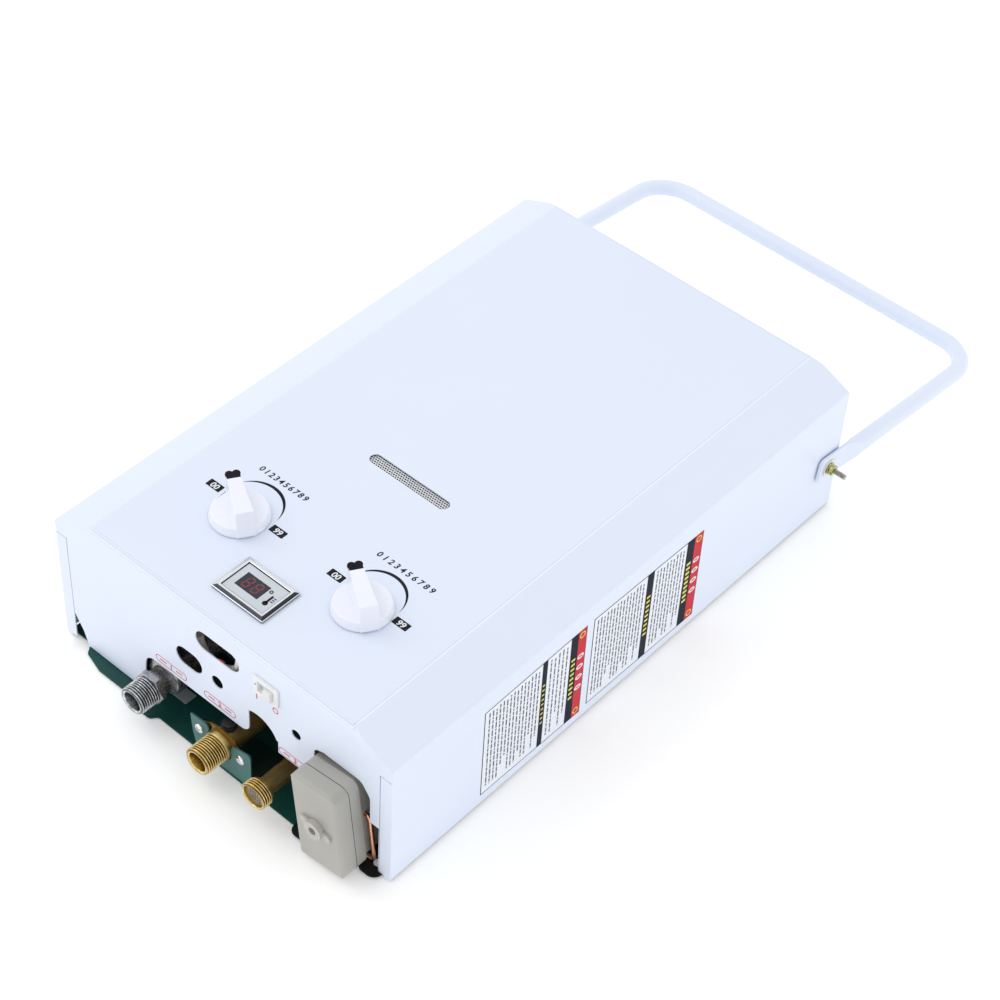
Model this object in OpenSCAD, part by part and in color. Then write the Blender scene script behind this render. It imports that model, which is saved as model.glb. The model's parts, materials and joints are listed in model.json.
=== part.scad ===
// Portable gas water heater, lying on its back plate as it is shown.
// X runs across the heater to its right, Y from the pipe end to the handle end, Z out of the front.
// The origin is on the rear face of the back plate, on the centre line, in the plane of the pipe end.
// All sizes are in millimetres and all angles in degrees.

/* [Casing] */
// Width across the side walls
case_w = 300; // [292:1:330]
// Length from the pipe end to the handle end
case_l = 460; // [450:1:520]
// Depth from the rear edge of the side walls to the front panel
case_d = 121.4; // [118:0.1:140]
// Thickness of the steel sheet of the cover
sheet = 0.8; // [0.7:0.1:1.2]
// Distance between the two creases of the front panel
crease_w = 234; // [215:1:250]
// How far the slanted strips beside the front panel drop to the side walls
chamfer_drop = 14; // [8:0.5:20]
// Radius of the bend between the front panel and the end walls
end_bend_r = 5; // [3:0.5:8]
// Radius of the bends along the side walls
side_bend_r = 2.5; // [1.6:0.1:4]
// Height of the side walls' rear edge above the rear face of the back plate
rear_gap = 2; // [1.6:0.1:3]
// Width of the folded flange beside the end wall
return_w = 10; // [8:0.5:12]
// Height at which that flange ends below the slanted strip
return_top = 98; // [85:1:101]
// Width of the slits that part the flange from the end wall
slit = 0.6; // [0.4:0.1:1]

/* [End wall openings] */
// Height of the lower edge of the end wall above the floor
wall_edge_z = 41.5; // [39:0.5:44]
// Width of the round-headed hole under the display
round_slot_w = 39; // [30:1:45]
// Height of that hole
round_slot_h = 16; // [12:1:18]
// Height of the middle of that hole above the floor
round_slot_z = 99; // [97:0.5:101]
// Width of the left inspection hole
side_slot_w = 24; // [16:1:28]
// Radius of the arch beside the water inlet
arch_r = 18; // [14:1:20]
// Diameter of the middle plug hole
plug_hole_d = 10; // [6:1:12]
// Diameter of the right plug hole
small_hole_d = 8; // [5:1:10]

/* [Viewing slot] */
// Width of the viewing slot
view_w = 69; // [50:1:90]
// Height of the viewing slot
view_h = 9; // [7:1:14]
// Distance of the viewing slot from the pipe end
view_y = 174; // [168:1:180]
// Diameter of the holes in the mesh behind the slot
mesh_hole_d = 2.2; // [1.6:0.1:2.5]
// Distance between neighbouring holes of the mesh
mesh_pitch = 3.1; // [2.9:0.1:4]

/* [Knobs] */
// Distance of the fire knob's axis from the centre line, to the left
fire_knob_x = 56.3; // [54:0.1:60]
// Distance of the fire knob's axis from the pipe end
fire_knob_y = 75.4; // [72:0.1:80]
// Distance of the water knob's axis from the centre line, to the right
water_knob_x = 55; // [53:0.1:58]
// Distance of the water knob's axis from the pipe end
water_knob_y = 72.6; // [70:0.1:78]
// Diameter of the knob's skirt
knob_d = 40.4; // [34:0.1:44]
// Height of the knob's skirt
knob_skirt_h = 6.5; // [4:0.5:8]
// Height of the top of the knob's grip above the panel
knob_h = 20; // [18:0.5:24]
// Gap between a knob and the front panel
knob_gap = 0.6; // [0.4:0.1:1.2]
// Width of the grip at its pointer
grip_tip_w = 9; // [7:0.5:10]
// Width of the grip at its blunt end
grip_end_w = 12; // [10.5:0.5:15]
// Length of the black pointer insert
pointer_l = 7; // [6:0.5:9]
// Thickness of the black pointer insert
pointer_t = 1.4; // [1:0.1:2]
// Direction of the pointer at rest, from the +X axis
pointer_angle = 148; // [130:1:165]
// Diameter of the spindle under each knob
spindle_d = 8; // [6:0.5:9]

/* [Display] */
// Width of the display frame
display_w = 45.5; // [42:0.5:52]
// Height of the display frame along the heater
display_h = 34; // [31:0.5:38]
// How far the display frame stands out of the front panel
display_rise = 3; // [2:0.5:4]
// Width of the border of the frame
display_border = 4.4; // [3.6:0.1:6]
// Width of the sloping part of that border
display_slope = 2.7; // [1.5:0.1:3]
// Distance of the middle of the display from the pipe end
display_y = 37.5; // [32:0.5:40]
// Distance of the middle of the display to the left of the centre line
display_x = 3.1; // [0:0.1:4]

/* [Switch] */
// Width of the switch frame
switch_w = 21.5; // [18:0.5:25]
// Height of the switch frame
switch_h = 16; // [14:0.5:18]
// Distance of the middle of the switch from the centre line
switch_x = 44; // [40:0.5:48]
// Height of the middle of the switch above the floor
switch_z = 98; // [95:0.5:99]
// Travel of the switch's slider
switch_travel = 6.5; // [4:0.5:8]

/* [Ports] */
// Outer diameter of the three pipe threads
thread_d = 20.955; // [20:0.005:22]
// Distance of the gas inlet to the left of the centre line
gas_x = 57.2; // [56:0.1:60]
// Height of the gas inlet's axis above the floor
gas_z = 24; // [22:0.5:26]
// How far the gas inlet stands out of the pipe end
gas_out = 25; // [22:0.5:32]
// Bore of the gas inlet
gas_bore_d = 14.5; // [10:0.5:16]
// Diameter over the corners of the gas inlet's hexagon
gas_hex_d = 26; // [25:0.5:28]
// Distance of the water outlet to the right of the centre line
outlet_x = 7.7; // [4:0.1:10]
// Height of the water outlet's axis above the floor
outlet_z = 21.6; // [20:0.1:23]
// How far the water outlet stands out of the pipe end
outlet_out = 29; // [26:0.5:36]
// Bore of the water outlet
outlet_bore_d = 14.5; // [11:0.5:16]
// Distance between the two screws of the water outlet's flange
outlet_screw_gap = 37.6; // [35:0.1:39]
// Distance of the water inlet to the right of the centre line
inlet_x = 54.6; // [53:0.1:56]
// Height of the water inlet's axis above the floor
inlet_z = 24.6; // [23:0.1:27]
// How far the water inlet stands out of the pipe end
inlet_out = 25.5; // [22:0.5:32]
// Bore of the water inlet's mouth
inlet_bore_d = 16.5; // [13:0.5:17.5]
// Length of the water inlet's thread
inlet_thread_l = 8.5; // [7:0.5:12]
// Outer diameter of the pipe behind the water inlet
inlet_pipe_d = 13; // [11:0.5:14]

/* [Battery box] */
// Distance of the battery box's middle from the right side wall
battery_inset = 41.8; // [41.2:0.1:44]
// Height of the battery box's middle above the floor
battery_z = 39.9; // [39.6:0.1:42]
// Lean of the battery box about its own length
battery_tilt = 6.65; // [0:0.05:7]
// Width of the battery box
battery_w = 39.5; // [37.5:0.1:40]
// Height of the battery box
battery_h = 74; // [71:0.5:75]
// How far the battery cover stands out of the pipe end
battery_out = 22.5; // [18:0.5:28]
// Depth of the battery cover
battery_lid_d = 12; // [10:0.5:15]
// Wall thickness of the battery box
battery_wall = 1.3; // [1:0.1:1.4]
// Diameter of each battery cell
cell_d = 33.2; // [30:0.1:33.4]
// Diameter of the latch's round boss
latch_d = 14; // [12:0.5:18]
// Length of the latch's two ears together
latch_ears = 26; // [20:1:30]

/* [Handle] */
// Outer diameter of the handle's tube
handle_d = 12.6; // [10:0.1:15]
// Wall thickness of the handle's tube
handle_wall = 1.2; // [1:0.1:1.5]
// Distance from the handle's pivot to the middle of its bar
handle_reach = 194.7; // [150:1:230]
// Radius of the handle's two bends, on the tube's middle line
handle_bend_r = 30; // [22:1:45]
// Distance of the pivot from the handle end of the casing
pivot_inset = 15.5; // [13:0.5:16]
// Height of the pivot above the floor
pivot_z = 49.6; // [40:0.1:60]
// Angle by which the resting handle droops below the back plate's plane
handle_droop = 6.6; // [0:0.1:12]
// Diameter of the pivot studs
stud_d = 4; // [4:0.5:6]

/* [Back plate] */
// Thickness of the back plate
plate_t = 1.2; // [1:0.1:1.5]
// How far the back plate stands out of the pipe end
plate_out = 9.5; // [6:0.5:12]
// Distance between the two wall-hanging holes
hang_gap = 180; // [120:1:200]
// Diameter of the wall-hanging holes
hang_d = 8; // [6:0.5:10]
// Diameter of the holes in the battery bracket's two lugs
lug_hole_d = 6; // [4:0.5:7]

/* [Heat exchanger] */
// Outer width of the combustion chamber
chamber_w = 168; // [160:1:180]
// Distance of the combustion chamber's lower edge from the pipe end
chamber_y = 212; // [208:1:220]
// Length of the combustion chamber
chamber_l = 133; // [120:1:136]
// Number of burner bars
burner_count = 6; // [4:1:6]
// Distance between neighbouring burner bars
burner_pitch = 25; // [22:0.5:26]
// Number of fins on the exchanger's tubes
fin_count = 21; // [9:2:25]
// Outer diameter of the exchanger's tubes
coil_d = 16; // [12:0.5:17]
// Outer diameter of the flue collar
flue_d = 84; // [70:1:86]
// How far the flue collar stands out of the handle end
flue_out = 12; // [10:1:14]

/* [Hidden] */
$fn = 48;

// A small overrun that lets every cut pass right through a face
eps = 0.5;
// Clearance between pieces that stand beside each other
gap = 0.3;
// Radial clearance of a shaft in its bore
run = 0.05;
// Extra diameter of a bore round a shaft that sits tight in it
seat = 0.04;

// Casing
half_w = case_w / 2;
front_z = rear_gap + case_d;
panel_back = front_z - sheet;
crease_x = crease_w / 2;
side_top = front_z - chamfer_drop;
slant = chamfer_drop / (half_w - crease_x);
slant_wall = sheet * sqrt(1 + slant * slant);
inner_w = half_w - sheet;
inner_side_top = front_z - slant * (inner_w - crease_x) - slant_wall;
inner_crease_x = crease_x + (sheet - slant_wall) / slant;

// Bracket that holds the water outlet
bracket_y = -9.5;
bracket_t = 1.5;
outlet_screw_x = 1;
outlet_screw_z = 2.2;

// Middle of the display's window, from the middle of its frame
window_x = -3;
window_y = 0.3;

// Places that follow the casing or a port
battery_x = half_w - battery_inset;
arch_x = inlet_x - 20;
post_x = arch_x - 8;
side_slot_x = -27;
side_slot_z = 69.4;
plug_hole_x = -1.3;
plug_hole_z = 68.5;
small_hole_x = 68.8;
small_hole_z = 76;
pivot_y = case_l - pivot_inset;
cover_top_screw_x = half_w - 25;
cover_screw_z = 10;
cover_screw_d = 3.8;

// Valves
link_y = 80;
link_z = 36;
link_d = 4;
link_travel = 4;
valve_r = 27;
valve_top = 62;
boss_top = 80;
boss_r = 9;
gas_valve_x0 = -86;
gas_valve_x1 = -30;
water_valve_x0 = 26;
water_valve_x1 = 72;
diaphragm_t = 1.5;
diaphragm_r = 25;
cavity_r = 20;
valve_cover_t = 10.5;
spindle_low = 47.5;
cold_y = 93;

// Burner and heat exchanger
manifold_y = 130;
manifold_z = 40;
manifold_r = 6.5;
burner_y0 = 150;
burner_y1 = 205;
burner_z0 = 20;
burner_z1 = 110;
chamber_z0 = 8;
chamber_z1 = 116;
chamber_t = 0.8;
chamber_y1 = chamber_y + chamber_l;
fin_l = 34;
fin_t = 0.6;
fin_y = chamber_y1 - fin_l - 5;
coil_y = fin_y + fin_l / 2;
coil_pitch = 24;
coil_z0 = 26;
coil_wall = 1;
coil_end = chamber_w / 2 + 4;
pipe_d = 12;
pipe_wall = 1;
pipe_bend = 14;
flue_z = 60;
flue_wall = 1;
hood_top = case_l - sheet - 7;
electrode_x = 30;
electrode_y = burner_y1 + 4;

// Battery box
lid_seam = -(battery_out - battery_lid_d);
rim_end = -2;
case_end = 58;
cell_l = 61;
cell_gap = 0.4;
// The case behind its rim just holds the cells and stands flush with the rim on the left
body_w = cell_d + 2 * battery_wall + 0.6;
body_h = 2 * (cell_d + cell_gap + battery_wall) + 0.6;
body_x = (body_w - battery_w) / 2;
latch_rise = 4;
latch_shaft_d = 8;
latch_angle = -14;

// Handle
plate_half = 10.3;
flat_t = 2 * handle_wall;
arm_x = half_w + 1 + flat_t / 2;
flat_end = 18;
round_start = 42;
stud_tip = half_w + 18;
lug_x = half_w - return_w - 5;
lug_y = 4.8;
nut_x = half_w + 1 + flat_t + 1.2;

// ---------------------------------------------------------------- helpers

// Direction and length of a vector
function unit(v) = v / norm(v);

// Points of an arc that rounds the corner b between a and c with radius r
function corner(a, b, c, r, n) =
    let(u = unit(a - b), v = unit(c - b), bend = acos(u * v) / 2,
        mid = b + unit(u + v) * (r / sin(bend)),
        from = b + u * (r / tan(bend)) - mid,
        to = b + v * (r / tan(bend)) - mid,
        a0 = atan2(from[1], from[0]),
        raw = atan2(to[1], to[0]) - a0,
        sweep = raw > 180 ? raw - 360 : raw < -180 ? raw + 360 : raw)
    [for (i = [0 : n]) mid + r * [cos(a0 + sweep * i / n), sin(a0 + sweep * i / n)]];

// An outline whose corners [x, y, radius] are rounded, a radius of 0 stays sharp
function rounded(pts, n = 6) =
    [for (i = [0 : len(pts) - 1])
        let(p = pts[i], a = pts[(i + len(pts) - 1) % len(pts)], c = pts[(i + 1) % len(pts)])
        each p[2] == 0 ? [[p[0], p[1]]] :
            corner([a[0], a[1]], [p[0], p[1]], [c[0], c[1]], p[2], n)];

// A rounded rectangle's outline about the origin
function rounded_box(w, h, r) =
    rounded([[-w / 2, -h / 2, r], [w / 2, -h / 2, r], [w / 2, h / 2, r], [-w / 2, h / 2, r]]);

// Draws a flat shape given in X and Z, from y0 to y1
module along_y(y0, y1) {
    translate([0, y1, 0])
        rotate([90, 0, 0])
            linear_extrude(height = y1 - y0)
                children();
}

// Draws a flat shape given in Y and Z, from x0 to x1
module along_x(x0, x1) {
    translate([x0, 0, 0])
        rotate([90, 0, 90])
            linear_extrude(height = x1 - x0)
                children();
}

// A round bar along X
module rod_x(x0, x1, d) {
    translate([x0, 0, 0])
        rotate([0, 90, 0])
            cylinder(h = x1 - x0, d = d);
}

// A round bar along Y
module rod_y(y0, y1, d) {
    translate([0, y1, 0])
        rotate([90, 0, 0])
            cylinder(h = y1 - y0, d = d);
}

// A block between two corners
module block(low, high) {
    translate(low)
        cube(high - low);
}

// A round-headed slot's flat shape
module slot_shape(w, h) {
    translate([-(w - h) / 2, 0])
        circle(d = h);
    translate([(w - h) / 2, 0])
        circle(d = h);
    translate([-(w - h) / 2, -h / 2])
        square([w - h, h]);
}

// A ring between two diameters
module ring(outer, inner) {
    difference() {
        circle(d = outer);
        circle(d = inner);
    }
}

// One straight length of tube from p to q, solid when the inner diameter is 0
module tube_length(p, q, outer, inner) {
    v = q - p;
    translate(p)
        rotate([0, acos(v[2] / norm(v)), atan2(v[1], v[0])])
            linear_extrude(height = norm(v))
                if (inner > 0)
                    ring(outer, inner);
                else
                    circle(d = outer);
}

// One bend of tube round the corner q between p and s
module tube_bend(p, q, s, bend, outer, inner) {
    a = unit(q - p);
    b = unit(s - q);
    turn = acos(a * b);
    n = unit(b - (a * b) * a);
    ez = cross(-n, a);
    mid = q - a * (bend * tan(turn / 2)) + n * bend;
    multmatrix([[-n[0], a[0], ez[0], mid[0]], [-n[1], a[1], ez[1], mid[1]], [-n[2], a[2], ez[2], mid[2]]])
        rotate_extrude(angle = turn)
            translate([bend, 0])
                if (inner > 0)
                    ring(outer, inner);
                else
                    circle(d = outer);
}

// A bent tube through the points of its route
module tube_run(pts, bend, outer, inner) {
    last = len(pts) - 1;
    function cut(i) = i == 0 || i == last ? 0 :
        bend * tan(acos(unit(pts[i] - pts[i - 1]) * unit(pts[i + 1] - pts[i])) / 2);
    for (i = [0 : last - 1])
        let(d = unit(pts[i + 1] - pts[i]))
            tube_length(pts[i] + d * cut(i), pts[i + 1] - d * cut(i + 1), outer, inner);
    for (i = [1 : last - 1])
        tube_bend(pts[i - 1], pts[i], pts[i + 1], bend, outer, inner);
}

// A pan-head screw along +Y, with its head's flat underside at y = 0
module screw_y(head_d, head_h, shank_d, shank_l) {
    rotate([-90, 0, 0]) {
        translate([0, 0, -head_h])
            cylinder(h = head_h, d = head_d);
        cylinder(h = shank_l, d = shank_d);
    }
}

// ---------------------------------------------------------------- casing

// Cross-section of the casing in X and Z, inset by the sheet where inner is true
function case_section(inner) = let(
        w = inner ? inner_w : half_w,
        top = inner ? panel_back : front_z,
        crease = inner ? inner_crease_x : crease_x,
        side = inner ? inner_side_top : side_top,
        low = inner ? rear_gap - eps : rear_gap,
        r = inner ? side_bend_r - sheet : side_bend_r)
    rounded([[-w, low, 0], [w, low, 0], [w, side, r], [crease, top, r], [-crease, top, r], [-w, side, r]]);

// Lengthwise section of the casing in Y and Z
function case_length_section(inner) = let(
        t = inner ? sheet : 0,
        low = inner ? rear_gap - 2 * eps : rear_gap - eps,
        r = end_bend_r - t)
    rounded([[t, low, 0], [case_l - t, low, 0], [case_l - t, front_z - t, r], [t, front_z - t, r]]);

module case_solid(inner) {
    intersection() {
        along_y(-eps, case_l + eps)
            polygon(case_section(inner));
        along_x(-half_w - eps, half_w + eps)
            polygon(case_length_section(inner));
    }
}

// Everything below the end wall's edge, from the left flange to the right one
module end_wall_opening() {
    inner_edge = half_w - return_w;
    polygon(rounded([
        [-inner_edge, rear_gap - 2, 0],
        [-inner_edge, 27.5, 0],
        [-inner_edge + 8, 14, 6],
        [-inner_edge + 12.6, rear_gap - 2, 0]]));
    polygon(rounded([
        [-gas_x - 16, rear_gap - 2, 0],
        [-gas_x - 12, wall_edge_z - 1.4, 9],
        [-gas_x - 4, wall_edge_z, 5],
        [post_x, wall_edge_z, 7.5],
        [post_x, wall_edge_z + 14, 0],
        [arch_x + arch_r, wall_edge_z + 14, 0],
        [arch_x + arch_r, wall_edge_z + 3.5, 0],
        [battery_x - 24, wall_edge_z + 3.5, 0],
        [battery_x - 24, 76, 5],
        [battery_x - 16, 79, 5],
        [battery_x + 16, 79, 6],
        [battery_x + 23.5, 69, 8],
        [battery_x + 23.8, 45.6, 1],
        [inner_edge - slit, 45.6, 0],
        [inner_edge - slit, rear_gap - 2, 0]]));
    intersection() {
        translate([arch_x, wall_edge_z + 7])
            circle(r = arch_r);
        translate([post_x, wall_edge_z])
            square([2 * arch_r, 2 * arch_r]);
    }
}

// The slits that part the folded flanges from the end wall
module flange_slits() {
    for (side = [-1, 1]) {
        translate([side * (half_w - return_w) - slit / 2, rear_gap - 1])
            square([slit, return_top - rear_gap + 1]);
        translate([side * (half_w - return_w / 2 - 0.5) - return_w / 2, return_top])
            square([return_w, slit]);
    }
}

module front_cover() {
    color([0.9, 0.92, 0.95])
    difference() {
        union() {
            difference() {
                case_solid(false);
                case_solid(true);
            }
            for (side = [-1, 1])
                translate([side * (half_w - 2.8), 0, 0])
                    block([-2.7, 0, 0.2], [2.7, sheet, rear_gap]);
        }
        along_y(-eps, sheet + eps)
            end_wall_opening();
        along_y(-eps, sheet + eps)
            flange_slits();
        along_y(-eps, sheet + eps) {
            translate([0, round_slot_z])
                slot_shape(round_slot_w, round_slot_h);
            translate([side_slot_x, side_slot_z])
                slot_shape(side_slot_w, round_slot_h);
            translate([plug_hole_x, plug_hole_z])
                circle(d = plug_hole_d);
            translate([small_hole_x, small_hole_z])
                circle(d = small_hole_d);
            translate([switch_x, switch_z])
                square([switch_w - 5, switch_h - 4], center = true);
        }
        translate([0, 0, panel_back - eps])
            linear_extrude(height = sheet + 2 * eps) {
                translate([0, view_y])
                    slot_shape(view_w, view_h);
                translate([-fire_knob_x, fire_knob_y])
                    circle(d = spindle_d + 4);
                translate([water_knob_x, water_knob_y])
                    circle(d = spindle_d + 4);
                translate([-display_x, display_y])
                    square([display_w - 7, display_h - 7], center = true);
            }
        for (side = [-1, 1])
            for (end = [0, 1])
                translate([side * (crease_x - 1), end * case_l, front_z])
                    cube([3, 2.4, 3], center = true);
        along_y(case_l - 2 * sheet, case_l + eps)
            translate([0, flue_z])
                circle(d = flue_d + 2);
        for (side = [-1, 1])
            along_y(case_l - 2 * sheet, case_l + eps)
                translate([side * cover_top_screw_x, cover_screw_z])
                    circle(d = cover_screw_d + 0.4);
        translate([0, pivot_y, pivot_z])
            rod_x(-half_w - eps, half_w + eps, stud_d + 0.6);
    }
}

module view_mesh() {
    margin = 5;
    rows = floor((view_h + 2) / (mesh_pitch * sin(60)) / 2);
    cols = floor((view_w + 2) / mesh_pitch / 2);
    color([0.55, 0.56, 0.58])
    translate([0, view_y, panel_back - 0.8])
        difference() {
            translate([-(view_w / 2 + margin), -(view_h / 2 + margin), 0])
                cube([view_w + 2 * margin, view_h + 2 * margin, 0.8]);
            for (row = [-rows : rows])
                for (col = [-cols : cols])
                    translate([(col + (abs(row) % 2) / 2) * mesh_pitch, row * mesh_pitch * sin(60), -eps])
                        cylinder(h = 0.8 + 2 * eps, d = mesh_hole_d, $fn = 6);
        }
}

module cover_screws() {
    color([0.7, 0.71, 0.73])
    for (side = [-1, 1])
        translate([side * cover_top_screw_x, case_l, cover_screw_z])
            mirror([0, 1, 0])
                screw_y(7.2, 2.2, cover_screw_d, 8);
}

// The back plate with its raised side flanges and the two welded handle brackets
module back_plate() {
    edge = inner_w - 0.5;
    top = case_l - sheet - 0.2;
    color([0.05, 0.22, 0.2])
    difference() {
        union() {
            linear_extrude(height = plate_t)
                polygon(rounded([
                    [-edge, top, 0],
                    [-edge, 3, 0],
                    [-half_w + 20, 3, 3],
                    [-half_w + 25.5, -plate_out / 2, 2],
                    [-half_w + 42, -plate_out, 4],
                    [-gas_x - 11, -plate_out, 3],
                    [-gas_x - 7, -plate_out - 5, 4],
                    [-gas_x + 3, -plate_out - 5, 4],
                    [-gas_x + 7, -plate_out, 3],
                    [battery_x - 26, -plate_out - 1, 6],
                    [battery_x - 16, lug_y + 6, 6],
                    [edge, lug_y + 6, 0],
                    [edge, top, 0]]));
            for (side = [-1, 1]) {
                translate([side * (edge - 0.5), 0, 0])
                    block([-0.5, lug_y + 6, 0], [0.5, top, 14]);
                translate([side * (edge - 0.75), 0, 0])
                    block([-0.75, pivot_y - 16, 0], [0.75, pivot_y + pivot_inset - 2, pivot_z + 12]);
                translate([side * cover_top_screw_x, 0, 0])
                    block([-12, top - 1, 0], [12, top, 18]);
            }
        }
        for (side = [-1, 1]) {
            translate([side * hang_gap / 2, case_l - 40, -eps])
                cylinder(h = plate_t + 2 * eps, d = hang_d);
            translate([side * cover_top_screw_x, 0, cover_screw_z])
                rod_y(top - 2, top + eps, cover_screw_d + 0.1);
        }
        translate([0, pivot_y, pivot_z])
            rod_x(-half_w, half_w, stud_d + 0.2);
    }
}

// Bracket in front of the water outlet's flange, open above the pipe
module outlet_bracket() {
    low = outlet_x - 26;
    high = outlet_x + 29;
    y = bracket_y;
    notch = thread_d / 2 + 0.8;
    color([0.18, 0.4, 0.42])
    difference() {
        union() {
            along_y(y, y + bracket_t)
                polygon(rounded([[low + 5, plate_t, 0], [high - 3, plate_t, 0], [high, plate_t + 14, 3],
                    [high, outlet_z + 13, 2.5], [outlet_x + notch + 1, outlet_z + 9, 2],
                    [outlet_x + notch - 1, outlet_z, 0],
                    [outlet_x - notch + 2.2, outlet_z, 0], [outlet_x - notch + 2.2, outlet_z + 11.6, 3.5],
                    [low, outlet_z + 10.8, 0.5], [low + 1.5, outlet_z - 6, 4]]));
            block([low + 5, y, plate_t], [high - 3, 22, plate_t + bracket_t]);
        }
        translate([outlet_x, 0, outlet_z])
            rod_y(y - eps, y + bracket_t + eps, 2 * notch);
        for (side = [-1, 1])
            translate([outlet_x + outlet_screw_x + side * outlet_screw_gap / 2, 0, outlet_z + outlet_screw_z])
                rod_y(y - eps, y + bracket_t + eps, 3.6);
    }
}

// ---------------------------------------------------------------- ports

// A pipe end with its lead chamfer, along -Y from y = 0 to its mouth
module port_stub(length, outer, bore) {
    rotate([90, 0, 0])
        rotate_extrude()
            polygon([[bore / 2, 0], [outer / 2, 0], [outer / 2, length - 1], [outer / 2 - 1, length],
                [bore / 2 + 0.4, length], [bore / 2, length - 0.4]]);
}

module gas_inlet() {
    hex_y = -10;
    color([0.55, 0.55, 0.56])
    translate([-gas_x, 0, gas_z]) {
        translate([0, hex_y + 1, 0])
            port_stub(gas_out + hex_y + 1, thread_d, gas_bore_d);
        difference() {
            union() {
                translate([0, hex_y, 0])
                    rotate([-90, 30, 0])
                        cylinder(h = 5, d = gas_hex_d, $fn = 6);
                rod_y(hex_y + 4, 52, 19);
                translate([0, 0, 1])
                    rod_y(3, 26, 29);
            }
            rod_y(hex_y - eps, 52 + eps, gas_bore_d);
        }
    }
}

// Lens-shaped outline of the water outlet's flange
module flange_outline() {
    reach = outlet_screw_gap / 2 + 7.6;
    rise = thread_d / 2 + 4.4;
    r = (reach * reach + rise * rise) / (2 * rise);
    intersection() {
        translate([0, r - rise])
            circle(r = r, $fn = 120);
        translate([0, rise - r])
            circle(r = r, $fn = 120);
        circle(r = outlet_screw_gap / 2 + 4.8, $fn = 120);
    }
}

module water_outlet() {
    face = bracket_y + bracket_t;
    thread_end = face - 4;
    color([0.78, 0.62, 0.25])
    translate([outlet_x, 0, outlet_z]) {
        translate([0, thread_end + 1, 0])
            port_stub(outlet_out + thread_end + 1, thread_d, outlet_bore_d);
        difference() {
            union() {
                rod_y(thread_end, face + 1, thread_d + 0.7);
                along_y(face, face + 1.5)
                    flange_outline();
                rod_y(face + 1, 24, 19);
            }
            rod_y(thread_end - eps, 24 + eps, outlet_bore_d);
            for (side = [-1, 1])
                translate([outlet_screw_x + side * outlet_screw_gap / 2, 0, outlet_screw_z])
                    rod_y(face - 1, face + 2, 3.6);
        }
    }
}

module outlet_screws() {
    color([0.75, 0.76, 0.78])
    for (side = [-1, 1])
        translate([outlet_x + outlet_screw_x + side * outlet_screw_gap / 2, bracket_y,
            outlet_z + outlet_screw_z])
            screw_y(7.4, 1.8, 3.5, 6);
}

module water_inlet() {
    back = inlet_thread_l - inlet_out;
    color([0.76, 0.58, 0.24])
    translate([inlet_x, 0, inlet_z]) {
        translate([0, back, 0])
            port_stub(inlet_thread_l, thread_d, inlet_bore_d);
        translate([0, back, 0])
            rotate([-90, 0, 0])
                rotate_extrude()
                    polygon([[inlet_pipe_d / 2 - 1.6, -1.5], [inlet_bore_d / 2 + 0.5, -1.5],
                        [thread_d / 2 - 0.6, 0], [inlet_pipe_d / 2, 3.5], [inlet_pipe_d / 2, 7],
                        [inlet_pipe_d / 2 - 1.6, 7]]);
    }
}

// The strainer cup inside the water inlet
module inlet_filter() {
    mouth = -inlet_out + 2.5;
    color([0.3, 0.3, 0.32])
    translate([inlet_x, 0, inlet_z])
        difference() {
            union() {
                rod_y(mouth, mouth + 1.5, inlet_bore_d - 0.2);
                rod_y(mouth + 1.5, mouth + 3.5, 12.4);
            }
            rod_y(mouth + 1, mouth + 4, 10.6);
            for (ix = [-2 : 2])
                for (iz = [-2 : 2])
                    translate([ix * 2, 0, iz * 2])
                        rod_y(mouth - eps, mouth + 2, 1.4);
        }
}

module inlet_pipe() {
    color([0.7, 0.5, 0.2])
    translate([inlet_x, 0, inlet_z])
        difference() {
            rod_y(inlet_thread_l - inlet_out + 7, 56, inlet_pipe_d);
            rod_y(inlet_thread_l - inlet_out + 7 - eps, 56 + eps, inlet_pipe_d - 3.2);
        }
}

// ---------------------------------------------------------------- valves

module water_valve_body() {
    disc_x0 = water_valve_x0;
    color([0.72, 0.6, 0.3])
    difference() {
        union() {
            block([disc_x0 + 8, 56, 12], [water_valve_x1, 106, valve_top]);
            translate([0, link_y, link_z])
                rod_x(disc_x0, disc_x0 + 8, 2 * valve_r);
            translate([water_knob_x, water_knob_y, valve_top])
                cylinder(h = boss_top - valve_top, r = boss_r);
            translate([water_valve_x1, cold_y, coil_z0])
                rod_x(0, 6, 18);
            translate([water_valve_x1, 66, 24])
                rod_x(0, 5, 14);
        }
        translate([0, link_y, link_z])
            rod_x(disc_x0 - eps, disc_x0 + 4, 2 * cavity_r);
        translate([0, link_y, inlet_z])
            rod_x(disc_x0 + 3, inlet_x, 6);
        translate([inlet_x, 0, inlet_z])
            rod_y(56 - eps, link_y, inlet_pipe_d - 3.2);
        translate([inlet_x, 0, inlet_z])
            rod_y(link_y - 1, cold_y, 8);
        translate([0, cold_y, coil_z0])
            rod_x(inlet_x, water_valve_x1 + 1, 8);
        translate([0, cold_y, coil_z0])
            rod_x(water_valve_x1, water_valve_x1 + 7, pipe_d);
        translate([water_knob_x, water_knob_y, spindle_low])
            cylinder(h = boss_top, d = spindle_d + 2 * run);
        translate([water_valve_x1 - 8, 66, 24])
            rod_x(0, 14, 8);
        for (turn = [0 : 60 : 300])
            translate([0, link_y + 23.5 * cos(turn), link_z + 23.5 * sin(turn)])
                rod_x(disc_x0 - eps, disc_x0 + 6, 3);
    }
}

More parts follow.
